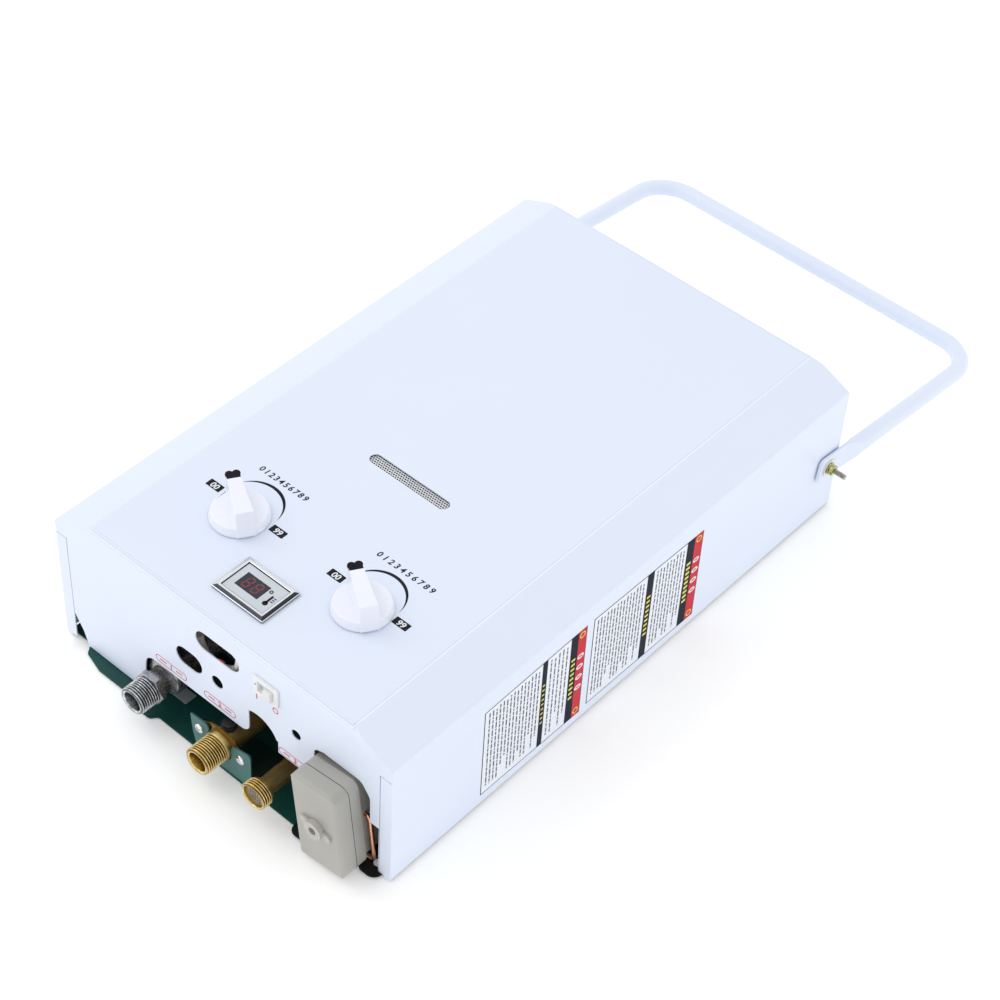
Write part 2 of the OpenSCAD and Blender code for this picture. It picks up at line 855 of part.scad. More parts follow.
module water_valve_cover() {
    x1 = water_valve_x0 - diaphragm_t;
    x0 = x1 - valve_cover_t;
    color([0.72, 0.6, 0.3])
    translate([0, link_y, link_z])
        difference() {
            union() {
                rod_x(x0, x1, 2 * valve_r);
                rod_x(x0 - 8, x0, 12);
            }
            rod_x(x0 + 3, x1 + eps, 2 * cavity_r);
            rod_x(x0 - 8 - eps, x0 + 4, link_d + 2 * run);
            for (turn = [0 : 60 : 300])
                translate([0, 23.5 * cos(turn), 23.5 * sin(turn)])
                    rod_x(x0 - eps, x1 + eps, 3.6);
        }
}

module diaphragm() {
    color([0.12, 0.12, 0.13])
    translate([0, link_y, link_z])
        difference() {
            rod_x(water_valve_x0 - diaphragm_t, water_valve_x0, 2 * valve_r);
            for (turn = [0 : 60 : 300])
                translate([0, 23.5 * cos(turn), 23.5 * sin(turn)])
                    rod_x(water_valve_x0 - diaphragm_t - eps, water_valve_x0 + eps, 3.6);
        }
}

module valve_screws() {
    x0 = water_valve_x0 - diaphragm_t - valve_cover_t;
    color([0.75, 0.76, 0.78])
    for (turn = [0 : 60 : 300])
        translate([x0, link_y + 23.5 * cos(turn), link_z + 23.5 * sin(turn)]) {
            rod_x(-2.2, 0, 6);
            rod_x(0, valve_cover_t + diaphragm_t + 5, 3);
        }
}

module drain_plug() {
    color([0.1, 0.1, 0.11])
    translate([water_valve_x1 + 5, 66, 24]) {
        rod_x(0, 6, 15);
        rod_x(-9, 0, 8);
    }
}

module gas_valve_body() {
    seat_x = gas_valve_x1 - 8;
    color([0.62, 0.63, 0.65])
    difference() {
        union() {
            block([gas_valve_x0, 52, 12], [gas_valve_x1, 112, valve_top]);
            translate([-fire_knob_x, fire_knob_y, valve_top])
                cylinder(h = boss_top - valve_top, r = boss_r);
        }
        translate([0, link_y, link_z])
            rod_x(gas_valve_x0 + 8, seat_x, 18);
        translate([0, link_y, link_z])
            rod_x(seat_x - eps, seat_x + 5, 10);
        translate([0, link_y, link_z])
            rod_x(seat_x + 4, gas_valve_x1 + eps, link_d + 2 * run);
        translate([0, link_y, link_z])
            rod_x(gas_valve_x0 - eps, gas_valve_x0 + 9, 8);
        translate([-gas_x, 0, gas_z])
            rod_y(52 - eps, link_y, gas_bore_d - 4);
        translate([seat_x + 2.5, 0, link_z])
            rod_y(link_y, 112 + eps, 4.8);
        translate([-fire_knob_x, fire_knob_y, spindle_low])
            cylinder(h = boss_top, d = spindle_d + 2 * run);
    }
}

module gas_solenoid() {
    color([0.2, 0.3, 0.5])
    translate([0, link_y, link_z]) {
        along_x(gas_valve_x0 - 3, gas_valve_x0)
            square([26, 26], center = true);
        rod_x(gas_valve_x0 - 28, gas_valve_x0 - 3, 22);
        rod_x(gas_valve_x0, gas_valve_x0 + 6, 8);
    }
}

// The rod that the diaphragm pushes, with its plate and its switch tab
module link_rod() {
    plate_x = water_valve_x0 - diaphragm_t - 2.1;
    seat_x = gas_valve_x1 - 8;
    color([0.8, 0.8, 0.82])
    translate([0, link_y, link_z]) {
        rod_x(plate_x, plate_x + 1.5, 32);
        rod_x(seat_x - 4.2, plate_x, link_d);
        block([-14, -4, 0], [-11, 4, 16]);
    }
}

module gas_valve_disc() {
    seat_x = gas_valve_x1 - 8;
    color([0.12, 0.12, 0.13])
    translate([0, link_y, link_z])
        difference() {
            rod_x(seat_x - 4.2, seat_x - 0.2, 15);
            rod_x(seat_x - 4.2 - eps, seat_x, link_d);
        }
}

module microswitch() {
    x1 = water_valve_x0 - diaphragm_t - valve_cover_t;
    color([0.08, 0.08, 0.09])
    difference() {
        block([-8, link_y - 3.2, link_z + 7], [x1, link_y + 3.2, link_z + 17]);
        translate([0, link_y, link_z + 12])
            rod_x(-8 - eps, 3, 3 + 2 * run);
        for (x = [-3, 8])
            translate([x, 0, link_z + 14.5])
                rod_y(link_y - 4, link_y + 4, 2.4);
    }
}

module microswitch_plunger() {
    color([0.75, 0.1, 0.1])
    translate([0, link_y, link_z + 12])
        rod_x(-10.8, -1.5, 3);
}

// ---------------------------------------------------------------- burner

module gas_manifold() {
    span = (burner_count - 1) * burner_pitch / 2 + 12;
    seat_x = gas_valve_x1 - 8;
    color([0.6, 0.61, 0.63])
    difference() {
        union() {
            translate([seat_x + 2.5, 0, link_z])
                rod_y(112, manifold_y, 11);
            translate([0, manifold_y, manifold_z])
                rod_x(-span, span, 2 * manifold_r);
        }
        translate([seat_x + 2.5, 0, link_z])
            rod_y(112 - eps, manifold_y, 5);
        translate([0, manifold_y, manifold_z])
            rod_x(-span + 2, span - 2, 2 * manifold_r - 4);
        for (i = [0 : burner_count - 1])
            translate([(i - (burner_count - 1) / 2) * burner_pitch, 0, manifold_z])
                rod_y(manifold_y, manifold_y + manifold_r + eps, 4);
    }
}

module gas_nozzles() {
    color([0.78, 0.62, 0.25])
    for (i = [0 : burner_count - 1])
        translate([(i - (burner_count - 1) / 2) * burner_pitch, 0, manifold_z])
            difference() {
                union() {
                    rod_y(manifold_y + manifold_r - 1.6, manifold_y + manifold_r + 0.6, 4);
                    translate([0, manifold_y + manifold_r + 0.6, 0])
                        rotate([-90, 0, 0])
                            cylinder(h = 5, d = 8, $fn = 6);
                    rod_y(manifold_y + manifold_r + 5.6, manifold_y + manifold_r + 8, 5);
                }
                rod_y(manifold_y + manifold_r - 2, manifold_y + manifold_r + 9, 1.2);
            }
}

module burner_bars() {
    t = 0.7;
    color([0.66, 0.64, 0.6])
    for (i = [0 : burner_count - 1])
        translate([(i - (burner_count - 1) / 2) * burner_pitch, 0, 0])
            difference() {
                union() {
                    block([-5, burner_y0, burner_z0], [5, burner_y1 - 14, burner_z1]);
                    block([-8, burner_y1 - 14, burner_z0], [8, burner_y1, burner_z1]);
                }
                block([t - 5, burner_y0 + t, burner_z0 + t], [5 - t, burner_y1 - 10, burner_z1 - t]);
                block([t - 8, burner_y1 - 14 + t, burner_z0 + t], [8 - t, burner_y1 - t, burner_z1 - t]);
                translate([0, 0, manifold_z])
                    rod_y(burner_y0 - eps, burner_y0 + 2, 7);
                for (z = [burner_z0 + 6 : 8 : burner_z1 - 6])
                    block([-5, burner_y1 - 2, z], [5, burner_y1 + eps, z + 2]);
            }
}

// The open frame that holds the burner bars
module burner_tray() {
    w = chamber_w / 2;
    color([0.72, 0.73, 0.75])
    difference() {
        block([-w, burner_y0 - 6, chamber_z0], [w, chamber_y, chamber_z1]);
        block([-w + 1, burner_y0 - 7, chamber_z0 + 1], [w - 1, chamber_y + 1, chamber_z1 - 1]);
        block([-view_w / 2 - 4, view_y - view_h / 2 - 3, chamber_z1 - 2],
            [view_w / 2 + 4, view_y + view_h / 2 + 3, chamber_z1 + 1]);
        for (x = [-electrode_x, electrode_x])
            translate([x, electrode_y, chamber_z1 - 2])
                cylinder(h = 3, d = 6.2);
    }
}

module combustion_chamber() {
    w = chamber_w / 2;
    color([0.72, 0.42, 0.28])
    difference() {
        block([-w, chamber_y, chamber_z0], [w, chamber_y1, chamber_z1]);
        block([-w + chamber_t, chamber_y - 1, chamber_z0 + chamber_t],
            [w - chamber_t, chamber_y1 + 1, chamber_z1 - chamber_t]);
        for (i = [0 : 3])
            translate([0, coil_y, coil_z0 + i * coil_pitch])
                rod_x(-w - eps, w + eps, coil_d + 0.2);
    }
}

module exchanger_fins() {
    reach = chamber_w / 2 - 8;
    color([0.75, 0.45, 0.3])
    for (i = [0 : fin_count - 1])
        translate([-reach + i * 2 * reach / (fin_count - 1), 0, 0])
            difference() {
                block([-fin_t / 2, fin_y, chamber_z0 + chamber_t + 0.5],
                    [fin_t / 2, fin_y + fin_l, chamber_z1 - chamber_t - 0.5]);
                for (k = [0 : 3])
                    translate([0, coil_y, coil_z0 + k * coil_pitch])
                        rod_x(-fin_t, fin_t, coil_d + 0.1);
            }
}

// One copper tube that passes four times through the fins
module exchanger_tubes() {
    inner = coil_d - 2 * coil_wall;
    color([0.78, 0.46, 0.3])
    translate([0, coil_y, coil_z0]) {
        for (k = [0 : 3])
            tube_length([-coil_end, 0, k * coil_pitch], [coil_end, 0, k * coil_pitch], coil_d, inner);
        for (k = [0 : 2])
            translate([(k % 2 == 0 ? -1 : 1) * coil_end, 0, (k + 0.5) * coil_pitch])
                rotate([90, 0, 0])
                    rotate([0, 0, k % 2 == 0 ? 90 : -90])
                        rotate_extrude(angle = 180)
                            translate([coil_pitch / 2, 0])
                                ring(coil_d, inner);
    }
}

// Outlet pipe from the exchanger down to the hot water outlet
module hot_pipe() {
    z = coil_z0 + 3 * coil_pitch;
    x = coil_end + pipe_bend + 2;
    color([0.78, 0.46, 0.3]) {
        tube_run([[coil_end, coil_y, z], [x, coil_y, z], [x, 40, z], [outlet_x, 40, z],
            [outlet_x, 40, outlet_z], [outlet_x, 24, outlet_z]], pipe_bend, pipe_d, pipe_d - 2 * pipe_wall);
    }
}

// Cold pipe from the water valve up to the exchanger
module cold_pipe() {
    x = coil_end + pipe_bend + 2;
    color([0.78, 0.46, 0.3])
    tube_run([[water_valve_x1, cold_y, coil_z0], [x, cold_y, coil_z0], [x, coil_y, coil_z0],
        [coil_end, coil_y, coil_z0]], pipe_bend, pipe_d, pipe_d - 2 * pipe_wall);
}

module flue_hood() {
    w = chamber_w / 2;
    neck = flue_d / 2 + 6;
    t = 0.8;
    color([0.72, 0.73, 0.75])
    difference() {
        translate([0, 0, chamber_z0])
            linear_extrude(height = chamber_z1 - chamber_z0)
                polygon([[-w, chamber_y1], [w, chamber_y1], [w, chamber_y1 + 30], [neck, hood_top - 12],
                    [neck, hood_top], [-neck, hood_top], [-neck, hood_top - 12], [-w, chamber_y1 + 30]]);
        translate([0, 0, chamber_z0 + t])
            linear_extrude(height = chamber_z1 - chamber_z0 - 2 * t)
                polygon([[-w + t, chamber_y1 - 1], [w - t, chamber_y1 - 1], [w - t, chamber_y1 + 30 - t],
                    [neck - t, hood_top - 12 - t], [neck - t, hood_top - t], [-neck + t, hood_top - t],
                    [-neck + t, hood_top - 12 - t], [-w + t, chamber_y1 + 30 - t]]);
        translate([0, 0, flue_z])
            rod_y(hood_top - 2, hood_top + eps, flue_d - 2 * flue_wall - 1);
    }
}

module flue_collar() {
    color([0.75, 0.76, 0.78])
    translate([0, 0, flue_z])
        difference() {
            union() {
                rod_y(hood_top, case_l + gap + 1, flue_d - 1);
                rod_y(case_l + gap, case_l + flue_out, flue_d);
                rod_y(hood_top, hood_top + 1, flue_d + 8);
            }
            rod_y(hood_top - eps, case_l + flue_out + eps, flue_d - 2 * flue_wall - 1);
        }
}

// ---------------------------------------------------------------- controls

module ignition_box() {
    color([0.1, 0.1, 0.11])
    difference() {
        block([-138, 60, 12], [-118, 140, 60]);
        for (z = [20 : 8 : 52])
            block([-139, 59, z], [-121, 62, z + 4]);
    }
}

// Igniter and flame sensor: a ceramic body with a flange on the frame, and the needle under it
module burner_electrodes() {
    color([0.92, 0.92, 0.9])
    for (x = [-electrode_x, electrode_x])
        translate([x, electrode_y, 0]) {
            translate([0, 0, chamber_z1])
                cylinder(h = 1.2, d = 10);
            translate([0, 0, chamber_z1 - 12])
                cylinder(h = 15.5, d = 6);
            translate([0, 0, chamber_z1 - 22])
                cylinder(h = 11, d = 1.8);
        }
}

// Round thermostat that sits with a saddle on the outlet's pipe
module outlet_thermostat() {
    color([0.05, 0.05, 0.06])
    difference() {
        translate([outlet_x - 0.4, 0.4, outlet_z]) {
            cylinder(h = 14.2, d = 9);
            translate([0, 0, 11])
                cylinder(h = 1, d = 11);
        }
        translate([outlet_x, 0, outlet_z]) {
            rod_y(-8, 12, 19);
            block([-12, -8, -1], [12, 12, 6]);
        }
    }
}

// A frame with sloping sides, given by its base, its top and its height
module sloped_frame(w, h, inset, rise, lip) {
    intersection() {
        along_y(-h / 2, h / 2)
            polygon([[-w / 2, 0], [w / 2, 0], [w / 2, lip], [w / 2 - inset, rise], [-w / 2 + inset, rise],
                [-w / 2, lip]]);
        along_x(-w / 2, w / 2)
            polygon([[-h / 2, 0], [h / 2, 0], [h / 2, lip], [h / 2 - inset, rise], [-h / 2 + inset, rise],
                [-h / 2, lip]]);
    }
}

module display_bezel() {
    color([0.8, 0.81, 0.83])
    translate([-display_x, display_y, front_z])
        difference() {
            sloped_frame(display_w, display_h, display_slope, display_rise, display_rise - 1.2);
            translate([0, 0, 1.4])
                linear_extrude(height = display_rise)
                    polygon(rounded_box(display_w - 2 * display_border, display_h - 2 * display_border, 1));
            translate([0, 0, -eps])
                linear_extrude(height = display_rise)
                    square([30, 22], center = true);
        }
}

module display_panel() {
    color([0.68, 0.7, 0.73])
    translate([-display_x, display_y, front_z + 1.4])
        difference() {
            linear_extrude(height = 0.8)
                polygon(rounded_box(display_w - 2 * display_border - 0.1,
                    display_h - 2 * display_border - 0.1, 1));
            translate([window_x, window_y, 0])
                block([-10, -6.5, -eps], [10, 6.5, 1 + eps]);
        }
}

module display_window() {
    color([0.08, 0.05, 0.07])
    translate([-display_x + window_x, display_y + window_y, front_z + 1.4])
        block([-9.95, -6.45, 0], [9.95, 6.45, 0.6]);
}

module display_housing() {
    color([0.92, 0.92, 0.9])
    translate([-display_x, display_y, 0])
        difference() {
            union() {
                block([-(display_w - 7.4) / 2, -(display_h - 7.4) / 2, front_z - 15],
                    [(display_w - 7.4) / 2, (display_h - 7.4) / 2, front_z]);
                block([-14.8, -10.8, front_z - 2], [14.8, 10.8, front_z + 1.4]);
            }
            block([-(display_w - 10) / 2, -(display_h - 10) / 2, front_z - 16],
                [(display_w - 10) / 2, (display_h - 10) / 2, front_z - 2]);
        }
}

module switch_housing() {
    color([0.9, 0.9, 0.89])
    translate([switch_x, 0, switch_z])
        difference() {
            union() {
                along_y(-1.8, 0)
                    polygon(rounded_box(switch_w, switch_h, 1));
                block([-(switch_w - 5.4) / 2, 0, -(switch_h - 4.4) / 2],
                    [(switch_w - 5.4) / 2, 14, (switch_h - 4.4) / 2]);
            }
            block([-(switch_w - 8) / 2, -2, -4.5], [(switch_w - 8) / 2, 2, 4.5]);
        }
}

module switch_slider() {
    color([0.82, 0.82, 0.81])
    translate([switch_x + (switch_w - 8) / 2 - 3.3, 0, switch_z])
        block([-3.1, -4.6, -4.2], [3.1, 1.9, 4.2]);
}

// A knob's sloping skirt under its flat top
module knob_turned() {
    r = knob_d / 2;
    rotate_extrude()
        polygon(rounded([[0, 0, 0], [r, 0, 0], [r, 1.4, 0],
            [r - 1.6, knob_skirt_h, 1], [0, knob_skirt_h, 0]]));
}

// One side of the grip: upright but for its draft, and turned so that the grip widens to its blunt end
module grip_side(side) {
    mid = (grip_tip_w + grip_end_w) / 4;
    turn = atan((grip_end_w - grip_tip_w) / 2 / knob_d);
    draft = 0.5;
    rotate([0, 0, side * turn])
        along_x(-knob_d, knob_d)
            polygon([[-side * knob_d, 1], [side * (mid + draft), 1],
                [side * mid, knob_h], [-side * knob_d, knob_h]]);
}

// A knob's grip, with its pointer end along -X and its blunt end sloping down to the rim
module knob_grip() {
    tip = -(knob_d / 2 + 0.6);
    end = knob_d / 2;
    intersection() {
        grip_side(1);
        grip_side(-1);
        along_y(-knob_d, knob_d)
            polygon([[tip, knob_h - 4], [tip + 6, 1], [end + 0.4, 1], [end + 0.4, 3.5], [end - 3, knob_h],
                [tip, knob_h]]);
    }
}

// The two-lobed pointer insert, from the top of the grip down
module pointer_insert() {
    r = grip_tip_w / 4 + 0.55;
    translate([0, 0, knob_h - pointer_t])
        linear_extrude(height = pointer_t) {
            translate([-knob_d / 2 + 1.2, 0])
                translate([0, -grip_tip_w / 2])
                    square([pointer_l - r, grip_tip_w]);
            for (side = [-1, 1])
                translate([-knob_d / 2 + 1.2, side * (grip_tip_w / 2 - r + 0.6)])
                    circle(r = r);
        }
}

module knob_body() {
    difference() {
        union() {
            knob_turned();
            knob_grip();
        }
        translate([0, 0, -eps])
            cylinder(h = knob_h - 6, d = spindle_d + seat);
        translate([-knob_d, -knob_d, knob_h - pointer_t])
            cube([knob_d / 2 + 1.2 + pointer_l - (grip_tip_w / 4 + 0.55), 2 * knob_d, 2 * pointer_t]);
    }
}

module fire_place() {
    translate([-fire_knob_x, fire_knob_y, front_z + knob_gap])
        rotate([0, 0, pointer_angle + 180])
            children();
}

module water_place() {
    translate([water_knob_x, water_knob_y, front_z + knob_gap])
        rotate([0, 0, pointer_angle + 180])
            children();
}

module fire_knob() {
    color([0.93, 0.94, 0.96])
        fire_place()
            knob_body();
}

module fire_pointer() {
    color([0.05, 0.05, 0.06])
        fire_place()
            pointer_insert();
}

module water_knob() {
    color([0.93, 0.94, 0.96])
        water_place()
            knob_body();
}

module water_pointer() {
    color([0.05, 0.05, 0.06])
        water_place()
            pointer_insert();
}

// The turning stem from a valve up into its knob
module knob_stem() {
    translate([0, 0, spindle_low + 0.5])
        cylinder(h = front_z + knob_gap + knob_h - 7 - spindle_low - 0.5, d = spindle_d);
}

module fire_spindle() {
    color([0.72, 0.73, 0.75])
    translate([-fire_knob_x, fire_knob_y, 0])
        knob_stem();
}

module water_spindle() {
    color([0.78, 0.62, 0.25])
    translate([water_knob_x, water_knob_y, 0])
        knob_stem();
}

// ---------------------------------------------------------------- battery box

module battery_frame() {
    translate([battery_x, 0, battery_z])
        rotate([0, -battery_tilt, 0])
            children();
}

// A black sheet under the battery box: a lug on each side of the box, joined behind it
module battery_bracket() {
    low = battery_x - 25;
    edge_l = battery_x - 16.4;
    edge_r = battery_x + 4;
    color([0.04, 0.05, 0.05])
    difference() {
        translate([0, 0, plate_t])
            linear_extrude(height = rear_gap - plate_t)
                polygon(rounded([
                    [low - 7, -16.5, 6],
                    [edge_l, -16.5, 6],
                    [edge_l, case_end + 1, 0],
                    [edge_r, case_end + 1, 0],
                    [edge_r, 2, 3],
                    [lug_x - 9, -2, 3],
                    [lug_x - 7, -7, 5],
                    [lug_x + 8, -7, 7],
                    [lug_x + 9, case_end + 12, 3],
                    [low - 7, case_end + 12, 3]]));
        translate([lug_x, lug_y, 0])
            cylinder(h = plate_t + 2, d = lug_hole_d);
    }
}

// Outline of the battery box's rim, or of the inside of that rim
module rim_outline(wall) {
    polygon(rounded_box(battery_w - 2 * wall, battery_h - 2 * wall, 6 - wall));
}

// Outline of the narrower case behind the rim
module body_outline(wall) {
    translate([body_x, 0])
        polygon(rounded_box(body_w - 2 * wall, body_h - 2 * wall, 4 - wall));
}

module battery_case() {
    color([0.72, 0.71, 0.67])
    battery_frame()
        difference() {
            union() {
                along_y(lid_seam, rim_end)
                    rim_outline(0);
                along_y(rim_end - 1, case_end)
                    body_outline(0);
            }
            along_y(lid_seam - eps, case_end - battery_wall)
                body_outline(battery_wall);
        }
}

module battery_cells() {
    y0 = case_end - battery_wall - 3 - cell_l;
    color([0.2, 0.3, 0.6])
    battery_frame()
        for (side = [-1, 1])
            translate([body_x, 0, side * (cell_d / 2 + cell_gap)]) {
                rod_y(y0, y0 + cell_l - 1.5, cell_d);
                rod_y(y0 + cell_l - 1.5, y0 + cell_l, 9);
            }
}

module battery_contacts() {
    y1 = case_end - battery_wall;
    color([0.8, 0.8, 0.75])
    battery_frame()
        for (side = [-1, 1])
            translate([body_x, 0, side * (cell_d / 2 + cell_gap)]) {
                along_y(y1 - 0.6, y1)
                    square([20, 20], center = true);
                rod_y(y1 - 3, y1 - 0.6, 7);
            }
}

module battery_cover() {
    color([0.72, 0.71, 0.67])
    battery_frame()
        difference() {
            intersection() {
                along_y(-battery_out, lid_seam)
                    rim_outline(0);
                along_x(-battery_w, battery_w)
                    polygon(rounded([[-battery_out, -battery_h / 2, 3], [lid_seam, -battery_h / 2, 0],
                        [lid_seam, battery_h / 2, 0], [-battery_out, battery_h / 2, 3]]));
                translate([0, 0, -battery_h])
                    linear_extrude(height = 2 * battery_h)
                        polygon(rounded([[-battery_w / 2, -battery_out, 3], [battery_w / 2, -battery_out, 3],
                            [battery_w / 2, lid_seam, 0], [-battery_w / 2, lid_seam, 0]]));
            }
            along_y(-battery_out + battery_wall + 0.7, lid_seam + eps)
                rim_outline(battery_wall + 0.7);
            rod_y(-battery_out - 2, lid_seam, latch_shaft_d + 2 * run);
        }
}

// The round latch with its two ears and a coin hole
module battery_latch() {
    face = -battery_out - 0.1;
    color([0.72, 0.71, 0.67])
    battery_frame()
        difference() {
            union() {
                rod_y(face - latch_rise, face, latch_d);
                along_y(face - 1.8, face)
                    rotate([0, 0, latch_angle])
                        slot_shape(latch_ears, 6);
                rod_y(face, lid_seam - 3, latch_shaft_d);
                along_y(lid_seam - 4.5, lid_seam - 3)
                    rotate([0, 0, latch_angle])
                        slot_shape(latch_ears - 4, 6);
            }
            rod_y(face - latch_rise - eps, face + 1, 6);
        }
}

// Thin copper tube of the overheat sensor, in the gap between the battery box and the side wall
module sensor_tube() {
    x = battery_w / 2 + 1.2;
    y = 3.2;
    low = -body_h / 2 - 2.2;
    color([0.78, 0.46, 0.3])
    battery_frame() {
        tube_run([[body_x + body_w / 2, y, 2.5], [x, y, 2.5], [x, y, low], [x - 9, y, low]], 3, 3, 0);
    }
}

// ---------------------------------------------------------------- handle

// The handle in its own frame: the pivot at the origin and the bar at +Y
module handle_tube(outer) {
    y_bar = handle_reach - handle_bend_r;
    for (side = [-1, 1]) {
        translate([side * arm_x, 0, 0])
            rod_y(round_start, y_bar, outer);
        translate([side * (arm_x - handle_bend_r), y_bar, 0])
            mirror([side < 0 ? 1 : 0, 0, 0])
                rotate_extrude(angle = 90)
                    translate([handle_bend_r, 0])
                        circle(d = outer);
    }
    translate([0, handle_reach, 0])
        rod_x(-arm_x + handle_bend_r, arm_x - handle_bend_r, outer);
}

// The stretch where the tube goes from flat to round
module handle_taper(side, outer, flat, width) {
    hull() {
        translate([side * arm_x, 0, 0])
            rod_y(round_start, round_start + 0.01, outer, $fn = 32);
        translate([side * arm_x, flat_end, 0])
            block([-flat / 2, 0, -width / 2], [flat / 2, 0.01, width / 2]);
    }
}

module handle() {
    color([0.93, 0.94, 0.96])
    translate([0, pivot_y, pivot_z])
        rotate([-handle_droop, 0, 0]) {
            difference() {
                handle_tube(handle_d);
                handle_tube(handle_d - 2 * handle_wall);
            }
            for (side = [-1, 1]) {
                handle_taper(side, handle_d, flat_t, 2 * plate_half - 1);
                difference() {
                    along_x(side * arm_x - flat_t / 2, side * arm_x + flat_t / 2)
                        polygon(rounded([[-plate_half, -plate_half, 3], [flat_end, -plate_half, 0],
                            [flat_end, plate_half, 0], [-plate_half, plate_half, 3]]));
                    rod_x(side * arm_x - flat_t, side * arm_x + flat_t, stud_d + 2 * run);
                }
            }
        }
}

module handle_studs() {
    color([0.6, 0.58, 0.56])
    translate([0, pivot_y, pivot_z])
        for (side = [-1, 1])
            mirror([side < 0 ? 1 : 0, 0, 0]) {
                rod_x(inner_w - 2, stud_tip, stud_d);
                rod_x(inner_w - 5, inner_w - 2, 8);
            }
}

module handle_nuts() {
    color([0.75, 0.72, 0.35])
    translate([0, pivot_y, pivot_z])
        for (side = [-1, 1])
            mirror([side < 0 ? 1 : 0, 0, 0])
                difference() {
                    union() {
                        rod_x(nut_x, nut_x + 0.9, 9.6);
                        translate([nut_x + 0.9, 0, 0])
                            rotate([0, 90, 0])
                                cylinder(h = 3.4, d = 8.1, $fn = 6);
                    }
                    rod_x(nut_x - eps, nut_x + 6, stud_d);
                }
}

// A washer between the handle and its nut, and one between the handle and the side wall
module handle_washers() {
    color([0.8, 0.81, 0.83])
    translate([0, pivot_y, pivot_z])
        for (side = [-1, 1])
            mirror([side < 0 ? 1 : 0, 0, 0]) {
                along_x(nut_x - 1, nut_x)
                    ring(13, stud_d + 0.1);
                along_x(half_w, half_w + 0.8)
                    ring(13, stud_d + 0.1);
            }
}

// ---------------------------------------------------------------- wiring

// Loose wires between the controls and the ignition box, each one unbroken run
module wiring() {
    wire = 2;
    bend = 6;
    box_x = -118;
    box_top = 60;
    over = chamber_z1 + 3;
    back = display_y;
    color([0.75, 0.12, 0.1]) {
        tube_run([[switch_x, 14.2, switch_z], [switch_x, 24, switch_z], [-112, 24, switch_z],
            [-112, 24, 54], [-112, 100, 54], [box_x, 100, 54]], bend - 2, wire, 0);
        tube_run([[box_x, 132, 44], [-106, 132, 44], [-106, electrode_y, 44], [-106, electrode_y, over],
            [-electrode_x - 3, electrode_y, over]], bend, wire, 0);
        tube_run([[box_x, 126, 30], [-98, 126, 30], [-98, electrode_y + 12, 30],
            [-98, electrode_y + 12, over], [electrode_x, electrode_y + 12, over],
            [electrode_x, electrode_y + 3, over]], bend, wire, 0);
        tube_run([[-12, back, front_z - 15], [-12, back, 86], [-124, back, 86], [-124, 104, 86],
            [-124, 104, box_top]], bend, wire, 0);
        tube_run([[3, link_y + 3.2, link_z + 12], [3, 118, link_z + 12], [box_x, 118, link_z + 12]],
            bend, wire, 0);
        tube_run([[battery_x - 16, case_end, 50], [battery_x - 16, case_end + 8, 50],
            [battery_x - 16, case_end + 8, 92], [-130, case_end + 8, 92], [-130, case_end + 8, box_top]],
            bend, wire, 0);
    }
}

front_cover();
view_mesh();
cover_screws();
back_plate();
outlet_bracket();
gas_inlet();
water_outlet();
outlet_screws();
water_inlet();
inlet_filter();
inlet_pipe();
water_valve_body();
water_valve_cover();
diaphragm();
valve_screws();
drain_plug();
gas_valve_body();
gas_solenoid();
microswitch();
microswitch_plunger();
link_rod();
gas_valve_disc();
gas_manifold();
gas_nozzles();
burner_bars();
burner_tray();
combustion_chamber();
exchanger_fins();
exchanger_tubes();
hot_pipe();
cold_pipe();
flue_hood();
flue_collar();
ignition_box();
burner_electrodes();
outlet_thermostat();
display_bezel();
display_panel();
display_window();
display_housing();
switch_housing();
switch_slider();
battery_bracket();
battery_case();
battery_cells();
battery_contacts();
battery_cover();
battery_latch();
sensor_tube();
handle();
handle_studs();
handle_nuts();
handle_washers();
wiring();
fire_knob();
fire_pointer();
fire_spindle();
water_knob();
water_pointer();
water_spindle();
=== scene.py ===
"""Dresses the solids of a portable gas water heater with finishes, soft edges, threads, prints and light.

Lengths inside the classes are millimetres in the row frame: X to the right, Y up to the handle and Z out of
the front.
"""

import json
import logging
import math
from collections.abc import Iterator
from contextlib import contextmanager
from dataclasses import dataclass, field
from enum import Enum

import bmesh
import bpy
import numpy as np
from mathutils import Matrix, Vector

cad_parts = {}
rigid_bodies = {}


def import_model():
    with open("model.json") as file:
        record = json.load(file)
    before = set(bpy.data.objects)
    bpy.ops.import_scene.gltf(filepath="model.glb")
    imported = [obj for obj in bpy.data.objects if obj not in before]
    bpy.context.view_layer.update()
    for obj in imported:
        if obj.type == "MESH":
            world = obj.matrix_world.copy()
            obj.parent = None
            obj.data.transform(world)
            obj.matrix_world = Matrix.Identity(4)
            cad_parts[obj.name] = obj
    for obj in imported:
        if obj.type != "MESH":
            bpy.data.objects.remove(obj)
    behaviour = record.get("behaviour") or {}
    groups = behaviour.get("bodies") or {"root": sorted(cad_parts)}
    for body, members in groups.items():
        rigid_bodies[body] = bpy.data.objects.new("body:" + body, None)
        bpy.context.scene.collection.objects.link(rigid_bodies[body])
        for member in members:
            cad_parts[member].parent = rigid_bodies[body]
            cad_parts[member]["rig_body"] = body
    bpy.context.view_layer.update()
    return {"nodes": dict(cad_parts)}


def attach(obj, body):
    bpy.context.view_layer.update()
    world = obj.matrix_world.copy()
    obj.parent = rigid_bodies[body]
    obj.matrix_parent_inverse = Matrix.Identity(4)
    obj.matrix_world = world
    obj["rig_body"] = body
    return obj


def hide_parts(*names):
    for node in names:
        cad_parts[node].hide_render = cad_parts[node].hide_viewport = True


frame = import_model()
LOG = logging.getLogger("water_heater")
Array = np.ndarray
Triple = tuple[float, float, float]
Socket = bpy.types.NodeSocket
MM = 0.001
FULL_TURN = 2.0 * math.pi
